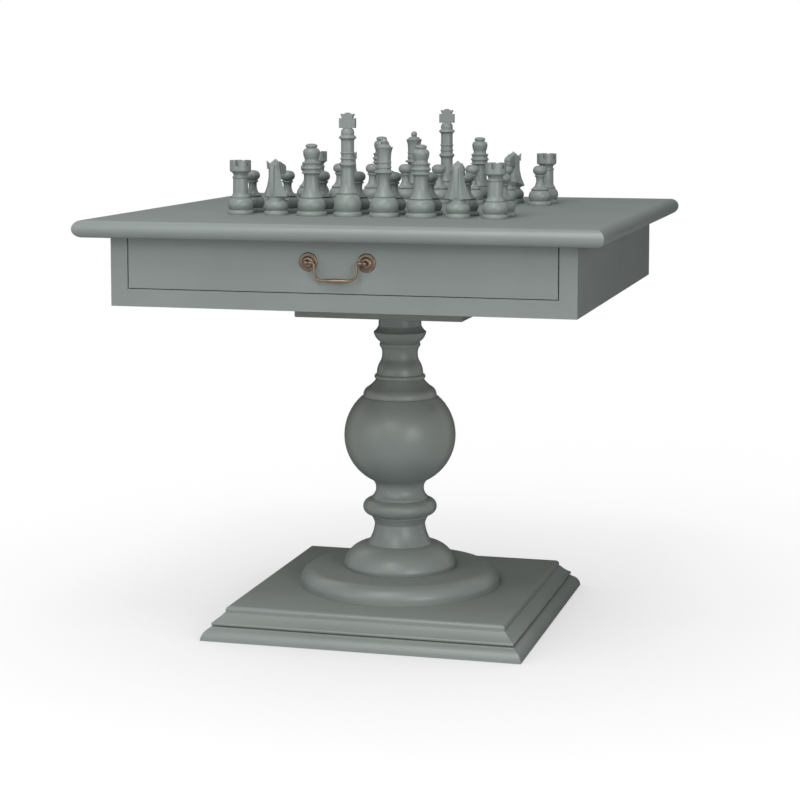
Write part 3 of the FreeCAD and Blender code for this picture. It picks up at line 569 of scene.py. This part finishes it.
def arcPoints(start, end, swell):
    # points between start and end on an arc that stands out to the right of the way
    way = Vector((end[0] - start[0], end[1] - start[1]))
    chord = way.length
    way.normalize()
    outward = Vector((way.y, -way.x)) * (1 if swell > 0 else -1)
    rise = abs(swell)
    radius = (chord * chord / 4 + rise * rise) / (2 * rise)
    half = 2 * math.atan2(2 * rise, chord)
    centre = (Vector(start) + Vector(end)) / 2 - outward * (radius - rise)
    count = max(4, math.ceil(2 * half / outlineRules["arcStep"]))
    points = []
    for index in range(1, count):
        turn = -half + 2 * half * index / count
        points.append(centre + (outward * math.cos(turn) + way * math.sin(turn)) * radius)
    return points


def outlineOf(steps, arris, closed=False):
    # steps (x, z) or (x, z, swell) as a list of points, with its sharp corners eased
    points = [Vector(steps[0][:2])]
    for before, step in zip(steps, steps[1:]):
        if len(step) == 3 and step[2] != 0:
            points += arcPoints(before[:2], step[:2], step[2])
        points.append(Vector(step[:2]))
    eased = []
    share = outlineRules["easeShare"]
    for index, point in enumerate(points):
        inWay = point - points[index - 1]
        outWay = points[(index + 1) % len(points)] - point
        atEnd = not closed and index in (0, len(points) - 1)
        if arris == 0 or atEnd or inWay.angle(outWay) < outlineRules["sharpTurn"]:
            eased.append(point)
            continue
        cut = min(arris, share * inWay.length, share * outWay.length)
        first = point - inWay.normalized() * cut
        last = point + outWay.normalized() * cut
        for along in (0, 0.33, 0.67, 1):
            eased.append(first * (1 - along) ** 2 + point * 2 * along * (1 - along) + last * along ** 2)
    return eased


def raised(steps, low):
    # the same steps, this much higher
    return [(step[0], low + step[1]) + tuple(step[2:]) for step in steps]


# Geometry Nodes trees

def geometryTree(name, inputs):
    tree = bpy.data.node_groups.new(name, "GeometryNodeTree")
    tree.interface.new_socket(name="Geometry", in_out="OUTPUT", socket_type="NodeSocketGeometry")
    inputs = [("Geometry", "Geometry", None)] + inputs + [("Material", "Material", None)]
    for socketName, kind, value in inputs:
        socket = tree.interface.new_socket(name=socketName, in_out="INPUT", socket_type="NodeSocket" + kind)
        if value is not None:
            socket.default_value = value
    return tree, tree.nodes.new("NodeGroupInput").outputs


def closeTree(tree, given, geometry):
    realize = addNode(tree, "GeometryNodeRealizeInstances", {0: geometry})
    paint = addNode(tree, "GeometryNodeSetMaterial", {
        "Geometry": realize.outputs[0],
        "Material": given["Material"]})
    addNode(tree, "NodeGroupOutput", {"Geometry": paint.outputs[0]})
    return tree


def instancesOn(tree, given, points):
    info = addNode(tree, "GeometryNodeObjectInfo", {"Object": given["Piece"], "As Instance": True})
    turn = addNode(tree, "ShaderNodeCombineXYZ", {"Z": given["Turn"]})
    return addNode(tree, "GeometryNodeInstanceOnPoints", {
        "Points": points,
        "Instance": info.outputs["Geometry"],
        "Rotation": turn.outputs["Vector"]}).outputs["Instances"]


def makeTurningTree():
    # an outline turned about the upright axis
    tree, given = geometryTree("Turning", [("Facets", "Int", 64)])
    ring = addNode(tree, "GeometryNodeCurvePrimitiveCircle", {"Radius": 1.0, "Resolution": given["Facets"]})
    sweep = addNode(tree, "GeometryNodeCurveToMesh", {
        "Curve": ring.outputs["Curve"],
        "Profile Curve": given["Geometry"]})
    upright = addNode(tree, "GeometryNodeTransform", {
        "Geometry": sweep.outputs["Mesh"],
        "Rotation": (math.pi, 0, 0)})
    weld = addNode(tree, "GeometryNodeMergeByDistance", {
        "Geometry": upright.outputs["Geometry"],
        "Distance": 0.004 * mm})
    return closeTree(tree, given, weld.outputs["Geometry"])


def makeRowTree():
    # one piece repeated along a line
    tree, given = geometryTree("Row Of Pieces", [
        ("Piece", "Object", None),
        ("Count", "Int", 8),
        ("First Place", "Vector", (0, 0, 0)),
        ("Step", "Vector", (0.066, 0, 0)),
        ("Turn", "Float", 0.0)])
    line = addNode(tree, "GeometryNodeMeshLine", {
        "Count": given["Count"],
        "Start Location": given["First Place"],
        "Offset": given["Step"]}, mode="OFFSET")
    return closeTree(tree, given, instancesOn(tree, given, line.outputs["Mesh"]))


def makePlacesTree():
    # one piece repeated at each point of the base mesh
    tree, given = geometryTree("Pieces At Points", [("Piece", "Object", None), ("Turn", "Float", 0.0)])
    return closeTree(tree, given, instancesOn(tree, given, given["Geometry"]))


def makeSquaresTree():
    # every other square of a board, chosen by Parity
    tree, given = geometryTree("Board Squares", [
        ("Squares Per Side", "Int", 8),
        ("Square Side", "Float", 0.066),
        ("Piece", "Object", None),
        ("Height", "Float", 0.0),
        ("Parity", "Int", 0),
        ("Turn", "Float", 0.0)])
    side = given["Squares Per Side"]
    reach = mathNode(tree, "MULTIPLY", mathNode(tree, "SUBTRACT", side, 1.0), given["Square Side"])
    grid = addNode(tree, "GeometryNodeMeshGrid", {
        "Size X": reach,
        "Size Y": reach,
        "Vertices X": side,
        "Vertices Y": side})
    index = tree.nodes.new("GeometryNodeInputIndex").outputs[0]
    column = mathNode(tree, "FLOOR", mathNode(tree, "DIVIDE", index, side))
    parity = mathNode(tree, "MODULO", mathNode(tree, "ADD", column, index), 2.0)
    unwanted = addNode(tree, "FunctionNodeCompare", {
        "A": parity,
        "B": given["Parity"],
        "Epsilon": 0.1}, data_type="FLOAT", operation="NOT_EQUAL")
    kept = addNode(tree, "GeometryNodeDeleteGeometry", {
        "Geometry": grid.outputs["Mesh"],
        "Selection": unwanted.outputs["Result"]})
    lift = addNode(tree, "ShaderNodeCombineXYZ", {"Z": given["Height"]})
    lifted = addNode(tree, "GeometryNodeTransform", {
        "Geometry": kept.outputs["Geometry"],
        "Translation": lift.outputs["Vector"]})
    return closeTree(tree, given, instancesOn(tree, given, lifted.outputs["Geometry"]))


turningTree = makeTurningTree()
rowTree = makeRowTree()
placesTree = makePlacesTree()
squaresTree = makeSquaresTree()


def grown(name, tree, values, base):
    # the tree run on the base object, as a plain mesh
    modifier = base.modifiers.new("shape", "NODES")
    modifier.node_group = tree
    for item in tree.interface.items_tree:
        if item.item_type == "SOCKET" and item.in_out == "INPUT" and item.name in values:
            modifier[item.identifier] = values[item.name]
    base.name = name
    piece = plainMesh(base)
    for polygon in piece.data.polygons:
        polygon.use_smooth = True
    return piece


def splineThrough(data, points):
    spline = data.splines.new("POLY")
    spline.points.add(len(points) - 1)
    for spot, point in zip(spline.points, points):
        spot.co = (*point, 1)
    return spline


def turnedPiece(name, steps, material, facets=64, arris=0.5, closed=False):
    # the tree sweeps the outline round a circle of one metre, so the outline is given from there
    data = bpy.data.curves.new(name, "CURVE")
    data.dimensions = "3D"
    points = outlineOf(steps, arris, closed)
    spline = splineThrough(data, [(point.x * mm - 1.0, point.y * mm, 0) for point in points])
    spline.use_cyclic_u = closed
    piece = grown(name, turningTree, {"Facets": facets, "Material": material}, linked(name + "Outline", data))
    return softened(piece, 0)


def pointsObject(name, places):
    mesh = bpy.data.meshes.new(name)
    mesh.from_pydata(places, [], [])
    return linked(name, mesh)


print("trees ready")


# screws: their places are shared with the boards that they go through

screw = {
    "shank": 2.5,
    "head": 4.5,
    "headHeight": 3.0,
    "facets": 24,
    "arris": 0.15,
    "slotHalf": 2.6,
    "slotWidth": 1.1,
    "slotDepth": 1.6,
    "turn": 0.6,
    "plateSpot": 132.0,                     # from the middle of the plate to a row of its screws
    "topSpots": (371.4, -316.4, 256.4, 3),  # across, first, last, and how many a side
    "baseCircle": 150.0,
    "sets": {   # node: (height of the head, length)
        "plate_screws": (586.0, 40.0),
        "top_screws": (720.3, 28.0),
        "base_screws": (6.0, 66.0),
    },
}


def screwPlaces():
    edge = screw["plateSpot"]
    plate = [(x, y) for x in (-edge, 0, edge) for y in (-edge, 0, edge) if (x, y) != (0, 0)]
    across, first, last, count = screw["topSpots"]
    step = (last - first) / (count - 1)
    top = [(x, first + step * index) for x in (-across, across) for index in range(count)]
    leg = screw["baseCircle"] * math.sqrt(0.5)
    base = [(x, y) for x in (-leg, leg) for y in (-leg, leg)]
    return {"plate_screws": plate, "top_screws": top, "base_screws": base}


# pedestal

pedestal = {
    "plinthHigh": 89.0,
    "plinthRadius": 186.7,
    "plinthRound": 24.7,
    "plateLow": 572.0,
    "rodBore": 6.5,
    "counterbore": (20.0, 16.0),    # radius, depth
    "boreReach": (-10.0, 100.0),    # bores start and end clear of the boards
    "pilotReach": 40.0,             # the same for the shank holes of the lower board
    "boreSides": 48,
    "baseTenon": (30.0, 18.0),
    "topTenon": (25.0, 18.0),
    "ball": (104.3, 338.2),         # radius, height of its widest line
    "ballFoot": (51.3, 84.8, 6.9),  # radius where the ball starts, how far below that line, cove under it
    "ballCrown": (72.3, 72.1),      # radius where it ends, and how far above
    "crownRing": (68.5, 1.3),       # radius, and how far above the ball's end
    "foot": [                       # radius, height above the plinth, swell
        (103.4, 0), (105, 8, 0.4), (60.7, 45, 9.8), (47.2, 82.6, -2.9), (51.6, 93.3, -0.2), (53.3, 95.6),
        (53.3, 99.1), (55.2, 128.8, 14.9), (52.2, 128.8), (52.2, 132.8)],
    "neck": [                       # radius, height from the plate, swell
        (58.6, -142.5, 3.4), (44.3, -127.7, -0.8), (43.4, -118.7, 3.9), (37, -95.1, 1.8), (33.5, -82.1, -1),
        (35.6, -68.8, -1), (36.4, -58.5, 2.2), (49.3, -39.4, 2.6), (40, -27, -1.3), (40, 0)],
    "upperEdge": [                  # half the side, height above the underside, swell
        (270.3, 0), (270.3, 1.4), (274.8, 1.4), (274.8, 7.6, 2), (273.6, 8), (258.4, 21.8, -0.8),
        (256.5, 22.3), (256.5, 24.6), (249.3, 33.2, 2.6)],
    "lowerEdge": [(293, 0), (292.4, 4), (279, 21, 2.6), (276.5, 23.3)],
    "turnedArris": 0.6,
    "edgeArris": 0.5,
    "arris": 0.35,
    "facets": 160,
}


def swellFromUpright(inset, reach):
    # the swell of an arc that leaves an upright tangent and ends this far in and this far along
    radius = (inset ** 2 + reach ** 2) / (2 * inset)
    return radius - math.sqrt(radius ** 2 - (inset ** 2 + reach ** 2) / 4)


def columnSteps():
    low, high = pedestal["plinthHigh"], pedestal["plateLow"]
    radius, middle = pedestal["ball"]
    footRadius, footDepth, cove = pedestal["ballFoot"]
    crownRadius, crownRise = pedestal["ballCrown"]
    ringRadius, ringRise = pedestal["crownRing"]
    baseTenon, baseLength = pedestal["baseTenon"]
    topTenon, topLength = pedestal["topTenon"]
    bore = pedestal["rodBore"]
    steps = [(bore, low - baseLength), (baseTenon, low - baseLength), (baseTenon, low)]
    steps += raised(pedestal["foot"], low)
    steps += [
        (footRadius, middle - footDepth, -cove),
        (radius, middle, swellFromUpright(radius - footRadius, footDepth)),
        (crownRadius, middle + crownRise, swellFromUpright(radius - crownRadius, crownRise)),
        (ringRadius, middle + crownRise + ringRise)]
    steps += raised(pedestal["neck"], high)
    return steps + [(topTenon, high), (topTenon, high + topLength), (bore, high + topLength)]


def mouldedBoard(name, steps, material, arris):
    # a square board from its edge outline, mitred at the four corners
    outline = outlineOf(steps, arris)
    vertices = []
    for sx, sy in ((1, -1), (1, 1), (-1, 1), (-1, -1)):
        vertices += [(sx * point.x * mm, sy * point.x * mm, point.y * mm) for point in outline]
    count = len(outline)
    faces = [tuple(corner * count for corner in (3, 2, 1, 0)),
             tuple(corner * count + count - 1 for corner in range(4))]
    for corner in range(4):
        here = corner * count
        there = (corner + 1) % 4 * count
        for index in range(count - 1):
            faces.append((here + index, there + index, there + index + 1, here + index + 1))
    mesh = bpy.data.meshes.new(name)
    mesh.from_pydata(vertices, [], faces)
    mesh.materials.append(material)
    return linked(name, mesh)


def boredOut(piece, bores):
    # bores are (x, y, radius, low, high) in millimetres
    work = bmesh.new()
    for x, y, radius, low, high in bores:
        made = bmesh.ops.create_cone(
            work, cap_ends=True, segments=pedestal["boreSides"], radius1=radius * mm, radius2=radius * mm,
            depth=(high - low) * mm)
        bmesh.ops.translate(work, verts=made["verts"], vec=(x * mm, y * mm, (low + high) / 2 * mm))
    return cutAway(piece, work, "bores")


def makeTurnings():
    facets, arris = pedestal["facets"], pedestal["turnedArris"]
    column = turnedPiece("turned_column", columnSteps(), paintAlong["z"], facets, arris, True)
    onBody(column, "table", "column")
    low, high = [corner.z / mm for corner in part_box("round_plinth")]
    rim, edge, bore = pedestal["plinthRadius"], pedestal["plinthRound"], pedestal["baseTenon"][0]
    steps = [
        (bore, low), (rim, low), (rim, high - edge), (rim - edge, high, edge * (1 - math.sqrt(0.5))),
        (bore, high)]
    plinth = turnedPiece("turned_plinth", steps, paintAlong["x"], facets, arris, True)
    onBody(plinth, "table", "round_plinth")


def makeBaseBoards():
    below, above = pedestal["boreReach"]
    spots = screwPlaces()["base_screws"]
    sink = screw["sets"]["base_screws"][0]
    wideBore, wideDepth = pedestal["counterbore"]
    rodBore = (0, 0, pedestal["rodBore"], 0, above)
    upperBores = [rodBore] + [(x, y, screw["shank"], 0, above) for x, y in spots]
    lowerBores = [rodBore, (0, 0, wideBore, below, wideDepth)]
    for x, y in spots:
        lowerBores += [
            (x, y, screw["head"], below, sink),
            (x, y, screw["shank"], 0, pedestal["pilotReach"])]
    upperEdge = raised(pedestal["upperEdge"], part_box("base_upper_board")[0].z / mm)
    for name, steps, bores in (("upper", upperEdge, upperBores),
                               ("lower", pedestal["lowerEdge"], lowerBores)):
        node = "base_" + name + "_board"
        piece = mouldedBoard("moulded_" + name + "_board", steps, paintAlong["x"], pedestal["edgeArris"])
        piece = softened(boredOut(piece, bores), pedestal["arris"])
        onBody(piece, "table", node)


makeTurnings()
makeBaseBoards()
dressed("mounting_plate", paintAlong["x"], 0.4)
print("pedestal ready")


# table top

tableTop = {
    "halfSide": 457.2,
    "halfField": 400.2,
    "under": 732.0,
    "high": 762.0,
    "seamEase": 0.10,
}

board = {
    "squareSide": 66.0,
    "squaresPerSide": 8,
    "inlayThickness": 4.0,
    "stringingWidth": 4.0,
    "seamEase": 0.14,
}


def prism(name, vertices, material, hardEnds=False):
    # a solid between two rings of as many vertices, with its faces turned outwards
    count = len(vertices) // 2
    faces = [tuple(range(count)), tuple(range(2 * count - 1, count - 1, -1))]
    for index in range(count):
        after = (index + 1) % count
        faces.append((after, count + after, count + index, index))
    mesh = bpy.data.meshes.new(name)
    mesh.from_pydata(vertices, [], faces)
    work = bmesh.new()
    work.from_mesh(mesh)
    bmesh.ops.recalc_face_normals(work, faces=work.faces)
    for face in work.faces:
        if hardEnds and len(face.verts) == count:
            for edge in face.edges:
                edge.smooth = False
    work.to_mesh(mesh)
    work.free()
    mesh.materials.append(material)
    return linked(name, mesh)


def mitredSide(name, steps, ease, quarter):
    # one side of a square frame, its ends cut at 45 degrees; quarter 0 is the right side
    turn = math.radians(90 * quarter)
    vertices = []
    outline = outlineOf(steps, ease, True)
    for end in (-1, 1):
        for point in outline:
            x, y = point.x * mm, end * point.x * mm
            vertices.append((x * math.cos(turn) - y * math.sin(turn),
                             x * math.sin(turn) + y * math.cos(turn), point.y * mm))
    # the ends' edges are hard, so that the ends don't tilt the shading of the long sides
    return softened(prism(name, vertices, paintAlong["x" if quarter % 2 else "y"], True), 0)


def makeEdgeRails():
    nose = (tableTop["high"] - tableTop["under"]) / 2
    half = tableTop["halfSide"]
    steps = [
        (tableTop["halfField"], tableTop["under"]),
        (half - nose, tableTop["under"]),
        (half - nose, tableTop["high"], nose),
        (tableTop["halfField"], tableTop["high"])]
    for quarter, name in enumerate(("right", "back", "left", "front")):
        rail = mitredSide("edge_rail_" + name + "_finished", steps, tableTop["seamEase"], quarter)
        onBody(rail, "table", "edge_rail_" + name)


def makeSquares():
    half = board["squareSide"] / 2
    steps = [(half, -board["inlayThickness"]), (half, 0)]
    for name, parity, material in (("dark", 0, darkSquarePaint), ("light", 1, lightSquarePaint)):
        one = softened(mouldedBoard("oneSquare", steps, material, 0), board["seamEase"])
        piece = grown("inlaid_squares_" + name, squaresTree, {
            "Squares Per Side": board["squaresPerSide"],
            "Square Side": board["squareSide"] * mm,
            "Piece": one,
            "Height": tableTop["high"] * mm,
            "Parity": parity,
            "Material": material}, pointsObject("squarePlaces", [(0, 0, 0)]))
        bpy.data.objects.remove(one)
        onBody(piece, "table", "board_squares_" + name)


def makeStringing():
    inner = board["squareSide"] * board["squaresPerSide"] / 2
    outer = inner + board["stringingWidth"]
    high = tableTop["high"]
    low = high - board["inlayThickness"]
    steps = [(inner, low), (outer, low), (outer, high), (inner, high)]
    strips = [mitredSide("strip", steps, board["seamEase"], quarter) for quarter in range(4)]
    onBody(joined("inlaid_stringing", strips), "table", "board_stringing")


makeEdgeRails()
dressed("top_field_panel", paintAlong["x"], tableTop["seamEase"])
makeSquares()
makeStringing()
print("top ready")


# case and drawer

caseArris = 0.2
drawerArris = 0.25
drawerFrontArris = 0.6
for node, axis in (("apron_back", "x"), ("apron_side_left", "y"), ("apron_side_right", "y"),
                   ("front_bottom_rail", "x"), ("front_stile_left", "z"), ("front_stile_right", "z")):
    dressed(node, paintAlong[axis], caseArris)
for node, axis in (("case_bottom", "x"), ("corner_blocks", "z"), ("drawer_stops", "x"),
                   ("drawer_kicker_left", "y"), ("drawer_kicker_right", "y"),
                   ("drawer_runner_left", "y"), ("drawer_runner_right", "y"),
                   ("drawer_side_left", "y"), ("drawer_side_right", "y"),
                   ("drawer_back", "x"), ("drawer_bottom", "x")):
    dressed(node, woodAlong[axis], drawerArris)
dressed("drawer_front", paintAlong["x"], drawerFrontArris)
print("case and drawer ready")


# pull

pull = {
    "spread": 101.6,
    "axisHeight": 696.2,
    "face": -406.4,
    "reach": 12.5,
    "rosette": (16.2, 6.0),         # radius, height
    "neck": 3.1,
    "ball": 4.4,
    "shank": (2.5, 26.0),           # radius, length behind the front
    "wire": 2.3,
    "grip": 3.7,
    "pin": 1.55,
    "pinDepth": 1.8,
    "shoulderGap": 0.5,
    "shoulderEase": (0.3, 0.28, 0.35),      # where the pin ends, where the slope starts, how much thinner
    "legSpread": 74.0,
    "drop": 30.0,
    "elbow": 5.0,
    "corner": 14.0,
    "facets": 72,
}


def facingFront(piece, x):
    # turns a piece made along +Z so that it stands out of the drawer front at x
    for vertex in piece.data.vertices:
        across, up, out = vertex.co
        vertex.co = (across + x * mm, pull["face"] * mm - out, up + pull["axisHeight"] * mm)
    piece.data.update()
    return piece


def makePair(name, steps, arris, closed):
    # the same turned piece at both ends of the bail
    half = pull["spread"] / 2
    pieces = [facingFront(turnedPiece(name, steps, bronze, pull["facets"], arris, closed), x)
              for x in (-half, half)]
    onBody(joined("bronze_" + name, pieces), "drawer", "pull_" + name)


def rosetteSteps():
    rim, height = pull["rosette"]
    bore = pull["shank"][0]
    return [
        (bore, 0), (rim, 0), (rim, 0.12 * height), (0.84 * rim, 0.42 * height, 0.07 * height),
        (0.62 * rim, 0.5 * height), (0.57 * rim, 0.7 * height), (0.24 * rim, height, 0.1 * height),
        (bore, height)]


def postSteps():
    neck, ball, reach = pull["neck"], pull["ball"], pull["reach"]
    shank, length = pull["shank"]
    meet = math.sqrt(ball ** 2 - neck ** 2)
    # the part of the ball that shows, from the neck to the tip, as two arcs
    lower = ball - math.hypot((neck + ball) / 2, meet / 2)
    upper = ball - ball * math.sqrt(0.5)
    return [
        (0, -length), (shank, -length), (shank, 0), (neck, 0.2), (neck, reach - meet),
        (ball, reach, lower), (0.15, reach + ball, upper), (0, reach + ball)]


def bailPath():
    # the middle of the wire from the left pin to the lowest place, with the radius at each point
    leg, drop = pull["legSpread"] / 2, pull["drop"]
    elbow, corner = pull["elbow"], pull["corner"]
    pinEnd = pull["spread"] / 2 + pull["pinDepth"]
    shoulder = pull["spread"] / 2 - pull["ball"] - pull["shoulderGap"]
    wire, pin = pull["wire"], pull["pin"]
    away, slope, thinner = pull["shoulderEase"]
    path = [(pinEnd, 0, pin), (shoulder + away, 0, pin), (shoulder + slope, 0, wire - thinner),
            (shoulder, 0, wire), (leg + elbow, 0, wire)]
    for index in range(1, 7):
        turn = math.radians(90 * index / 6)
        path.append((leg + elbow - elbow * math.sin(turn), -elbow + elbow * math.cos(turn), wire))
    straight = drop - corner - elbow
    for index in range(1, 6):
        path.append((leg, -elbow - straight * index / 5, wire))
    for index in range(1, 13):
        turn = math.radians(90 * index / 12)
        path.append((leg - corner + corner * math.cos(turn), -drop + corner - corner * math.sin(turn), wire))
    swell = pull["grip"] - wire
    for index in range(1, 13):
        share = 1 - index / 12
        path.append(((leg - corner) * share, -drop, wire + swell * (1 - share ** 2)))
    return path


def makeBail():
    right = bailPath()
    points = [(-x, z, radius) for x, z, radius in right[:-1]] + right[::-1]
    data = bpy.data.curves.new("bailWire", "CURVE")
    data.dimensions = "3D"
    data.bevel_depth = mm
    data.bevel_resolution = 8
    data.use_fill_caps = True
    out = (pull["face"] - pull["reach"]) * mm
    spline = splineThrough(data, [(x * mm, out, (pull["axisHeight"] + z) * mm) for x, z, radius in points])
    for spot, (x, z, radius) in zip(spline.points, points):
        spot.radius = radius
    data.materials.append(bronze)
    onBody(softened(plainMesh(linked("bronze_bail", data)), 0), "bail", "bail_handle")


makePair("rosettes", rosetteSteps(), 0.3, True)
makePair("posts", postSteps(), 0.15, False)
makeBail()
dressed("pull_nuts", bronze, 0.25)
print("pull ready")


# fasteners

def makeScrew(length):
    shank, half = screw["shank"], screw["slotHalf"]
    steps = [
        (0, 0), (screw["head"], 0), (shank, screw["headHeight"]), (shank, length - 2 * shank), (0, length)]
    body = turnedPiece("screwBody", steps, steel, screw["facets"], screw["arris"])
    work = bmesh.new()
    for long, wide in ((half, screw["slotWidth"] / 2), (screw["slotWidth"] / 2, half)):
        made = bmesh.ops.create_cube(work, size=2)
        for vertex in made["verts"]:
            x, y, z = vertex.co
            vertex.co = (x * long * mm, y * wide * mm, z * screw["slotDepth"] * mm)
    return cutAway(body, work, "crossSlot", True)


def makeScrews():
    places = screwPlaces()
    for node, (height, length) in screw["sets"].items():
        one = makeScrew(length)
        spots = [(x * mm, y * mm, height * mm) for x, y in places[node]]
        piece = grown("steel_" + node, placesTree, {
            "Piece": one,
            "Turn": screw["turn"],
            "Material": steel}, pointsObject(node + "Places", spots))
        bpy.data.objects.remove(one)
        onBody(softened(piece, 0), "table", node)


makeScrews()
for node in ("tie_rod", "tie_rod_washers", "tie_rod_nuts"):
    dressed(node, steel, 0.3)
print("fasteners ready")


# chessmen

men = {
    "facets": 48,
    "arris": 0.35,
    "columns": {"king": [3], "queen": [4], "bishops": [2, 5], "rooks": [0, 7], "pawns": list(range(8))},
}


def footSteps(radius, bulb, bulbTop, neck):
    disc = 7.5
    low = 0.86 * bulb
    return [(0, 0), (radius, 0), (radius - 1.2, disc, 0.9), (low, disc + 0.8),
            (neck, bulbTop, bulb - (low + neck) / 2)]


menSteps = {
    "pawns": footSteps(22.4, 21.2, 28.5, 15) + [
        (16.8, 30.5, 0.5), (7.4, 46, -2.4), (8.2, 54, -0.4), (8.2, 57.5, 2.0), (9, 58.5),
        (9.4, 73.5, 4.2), (2.5, 75.4, 0.5), (0, 75.4)],
    "rooks": footSteps(22.4, 22.6, 29, 16.5) + [
        (17, 30), (16.2, 32.5, 0.5), (13.5, 40, -0.8), (13.1, 64), (13.1, 67.5, 1.4), (12.2, 69),
        (17.8, 76, -1.2), (18.8, 78, 0.3), (18.8, 96), (13.5, 96), (13.5, 84), (0, 84)],
    "bishops": footSteps(26.9, 24.8, 31, 18.5) + [
        (19.6, 33, 0.4), (13.2, 56, -1.9), (12.9, 71, -0.3), (18.8, 75, -0.9), (15, 77.5), (15, 80.5),
        (15, 86.5, 2.3), (15, 90), (16.8, 93, 0.4), (12.4, 95), (12, 99), (14.8, 109.5, 0.4),
        (8.8, 118.5, 2.2), (8.6, 119.2), (8.2, 125, 2.1), (2.5, 126.2, 0.3), (0, 126.2)],
    "queen": footSteps(26.1, 25.3, 34, 17) + [
        (18.1, 36, 0.4), (10.4, 62, -2.2), (12, 74, -0.5), (17.4, 77, -0.8), (16.6, 79.5, 0.4),
        (12, 81.5), (12, 84.5), (12, 87.5, 1.2), (12, 93.5), (12, 96.5, 1.0), (12.4, 108, -0.2),
        (15.6, 121, -0.6), (12.6, 121.5), (5, 126.5, 1.2), (4.6, 127.2), (1.5, 136.7, 2.75), (0, 136.7)],
    "king": footSteps(25.1, 24.1, 39, 17) + [
        (18.2, 41, 0.4), (12.2, 63, -1.7), (11.5, 84, -0.3), (14.2, 88.5, -0.5), (11.6, 94.5, 1.9),
        (11.4, 99), (11.4, 102, 1.6), (11.4, 109), (11.4, 112.2, 1.6), (11.4, 132), (15.9, 136.5, -0.7),
        (11.6, 141.5, 0.7), (11.1, 142.5), (11.1, 148.5, 0.6), (8, 153, 0.8), (0, 153)],
}

kingCross = {
    "thickness": 9.0,
    "arris": 0.6,
    "outline": [(-7, 152), (7, 152), (7.5, 154), (14.6, 154), (14.6, 171), (9.2, 171), (12.5, 178.5),
                (5, 178.5), (-5, 178.5, 2.4), (-12.5, 178.5), (-9.2, 171), (-14.6, 171), (-14.6, 154),
                (-7.5, 154)],
}

rookCup = {
    "radius": 18.8,
    "height": 96.0,
    "notchWidth": 6.0,
    "notchDepth": 10.0,
    "notches": 6,
    "arris": 0.25,
}


def makeKingCross():
    half = kingCross["thickness"] / 2
    outline = outlineOf(kingCross["outline"], 0)
    vertices = [(point.x * mm, side * mm, point.y * mm) for side in (-half, half) for point in outline]
    return softened(prism("kingCross", vertices, paintAlong["z"]), kingCross["arris"])


def notched(rook):
    work = bmesh.new()
    width, depth = rookCup["notchWidth"], rookCup["notchDepth"]
    for index in range(rookCup["notches"]):
        turn = math.radians(360 / rookCup["notches"] * index + 90)
        made = bmesh.ops.create_cube(work, size=1)
        for vertex in made["verts"]:
            out = rookCup["radius"] * (1 + vertex.co.x)
            side = vertex.co.y * width
            up = rookCup["height"] - depth + (vertex.co.z + 0.5) * (depth + 1)
            vertex.co = ((out * math.cos(turn) - side * math.sin(turn)) * mm,
                         (out * math.sin(turn) + side * math.cos(turn)) * mm, up * mm)
    return softened(cutAway(rook, work, "notches"), rookCup["arris"])


def makeMan(kind):
    man = turnedPiece("man_" + kind, menSteps[kind], paintAlong["z"], men["facets"], men["arris"])
    if kind == "rooks":
        man = notched(man)
    if kind == "king":
        man = joined("man_king", [man, makeKingCross()])
    return man


def makeMen():
    side = board["squareSide"]
    last = board["squaresPerSide"] - 1
    for kind, columns in men["columns"].items():
        one = makeMan(kind)
        step = columns[1] - columns[0] if len(columns) > 1 else 1
        for army, row, forward, turn in (("near", 0, 1, 0.0), ("far", last, -1, math.pi)):
            if kind == "pawns":
                row += forward
            first = columns[0]
            if army == "far" and kind in ("king", "queen"):
                first = last - first
            place = ((first - last / 2) * side * mm, (row - last / 2) * side * mm, tableTop["high"] * mm)
            piece = grown(army + "_" + kind + "_turned", rowTree, {
                "Piece": one,
                "Count": len(columns),
                "First Place": place,
                "Step": (step * side * mm, 0, 0),
                "Turn": turn,
                "Material": paintAlong["z"]}, pointsObject("menPlaces", [(0, 0, 0)]))
            node = army + "_" + kind
            onBody(softened(piece, 0), node, node)
        bpy.data.objects.remove(one)


makeMen()
for node in ("near_knights", "far_knights"):
    dressed(node, paintAlong["z"], men["arris"])
print("chessmen ready")
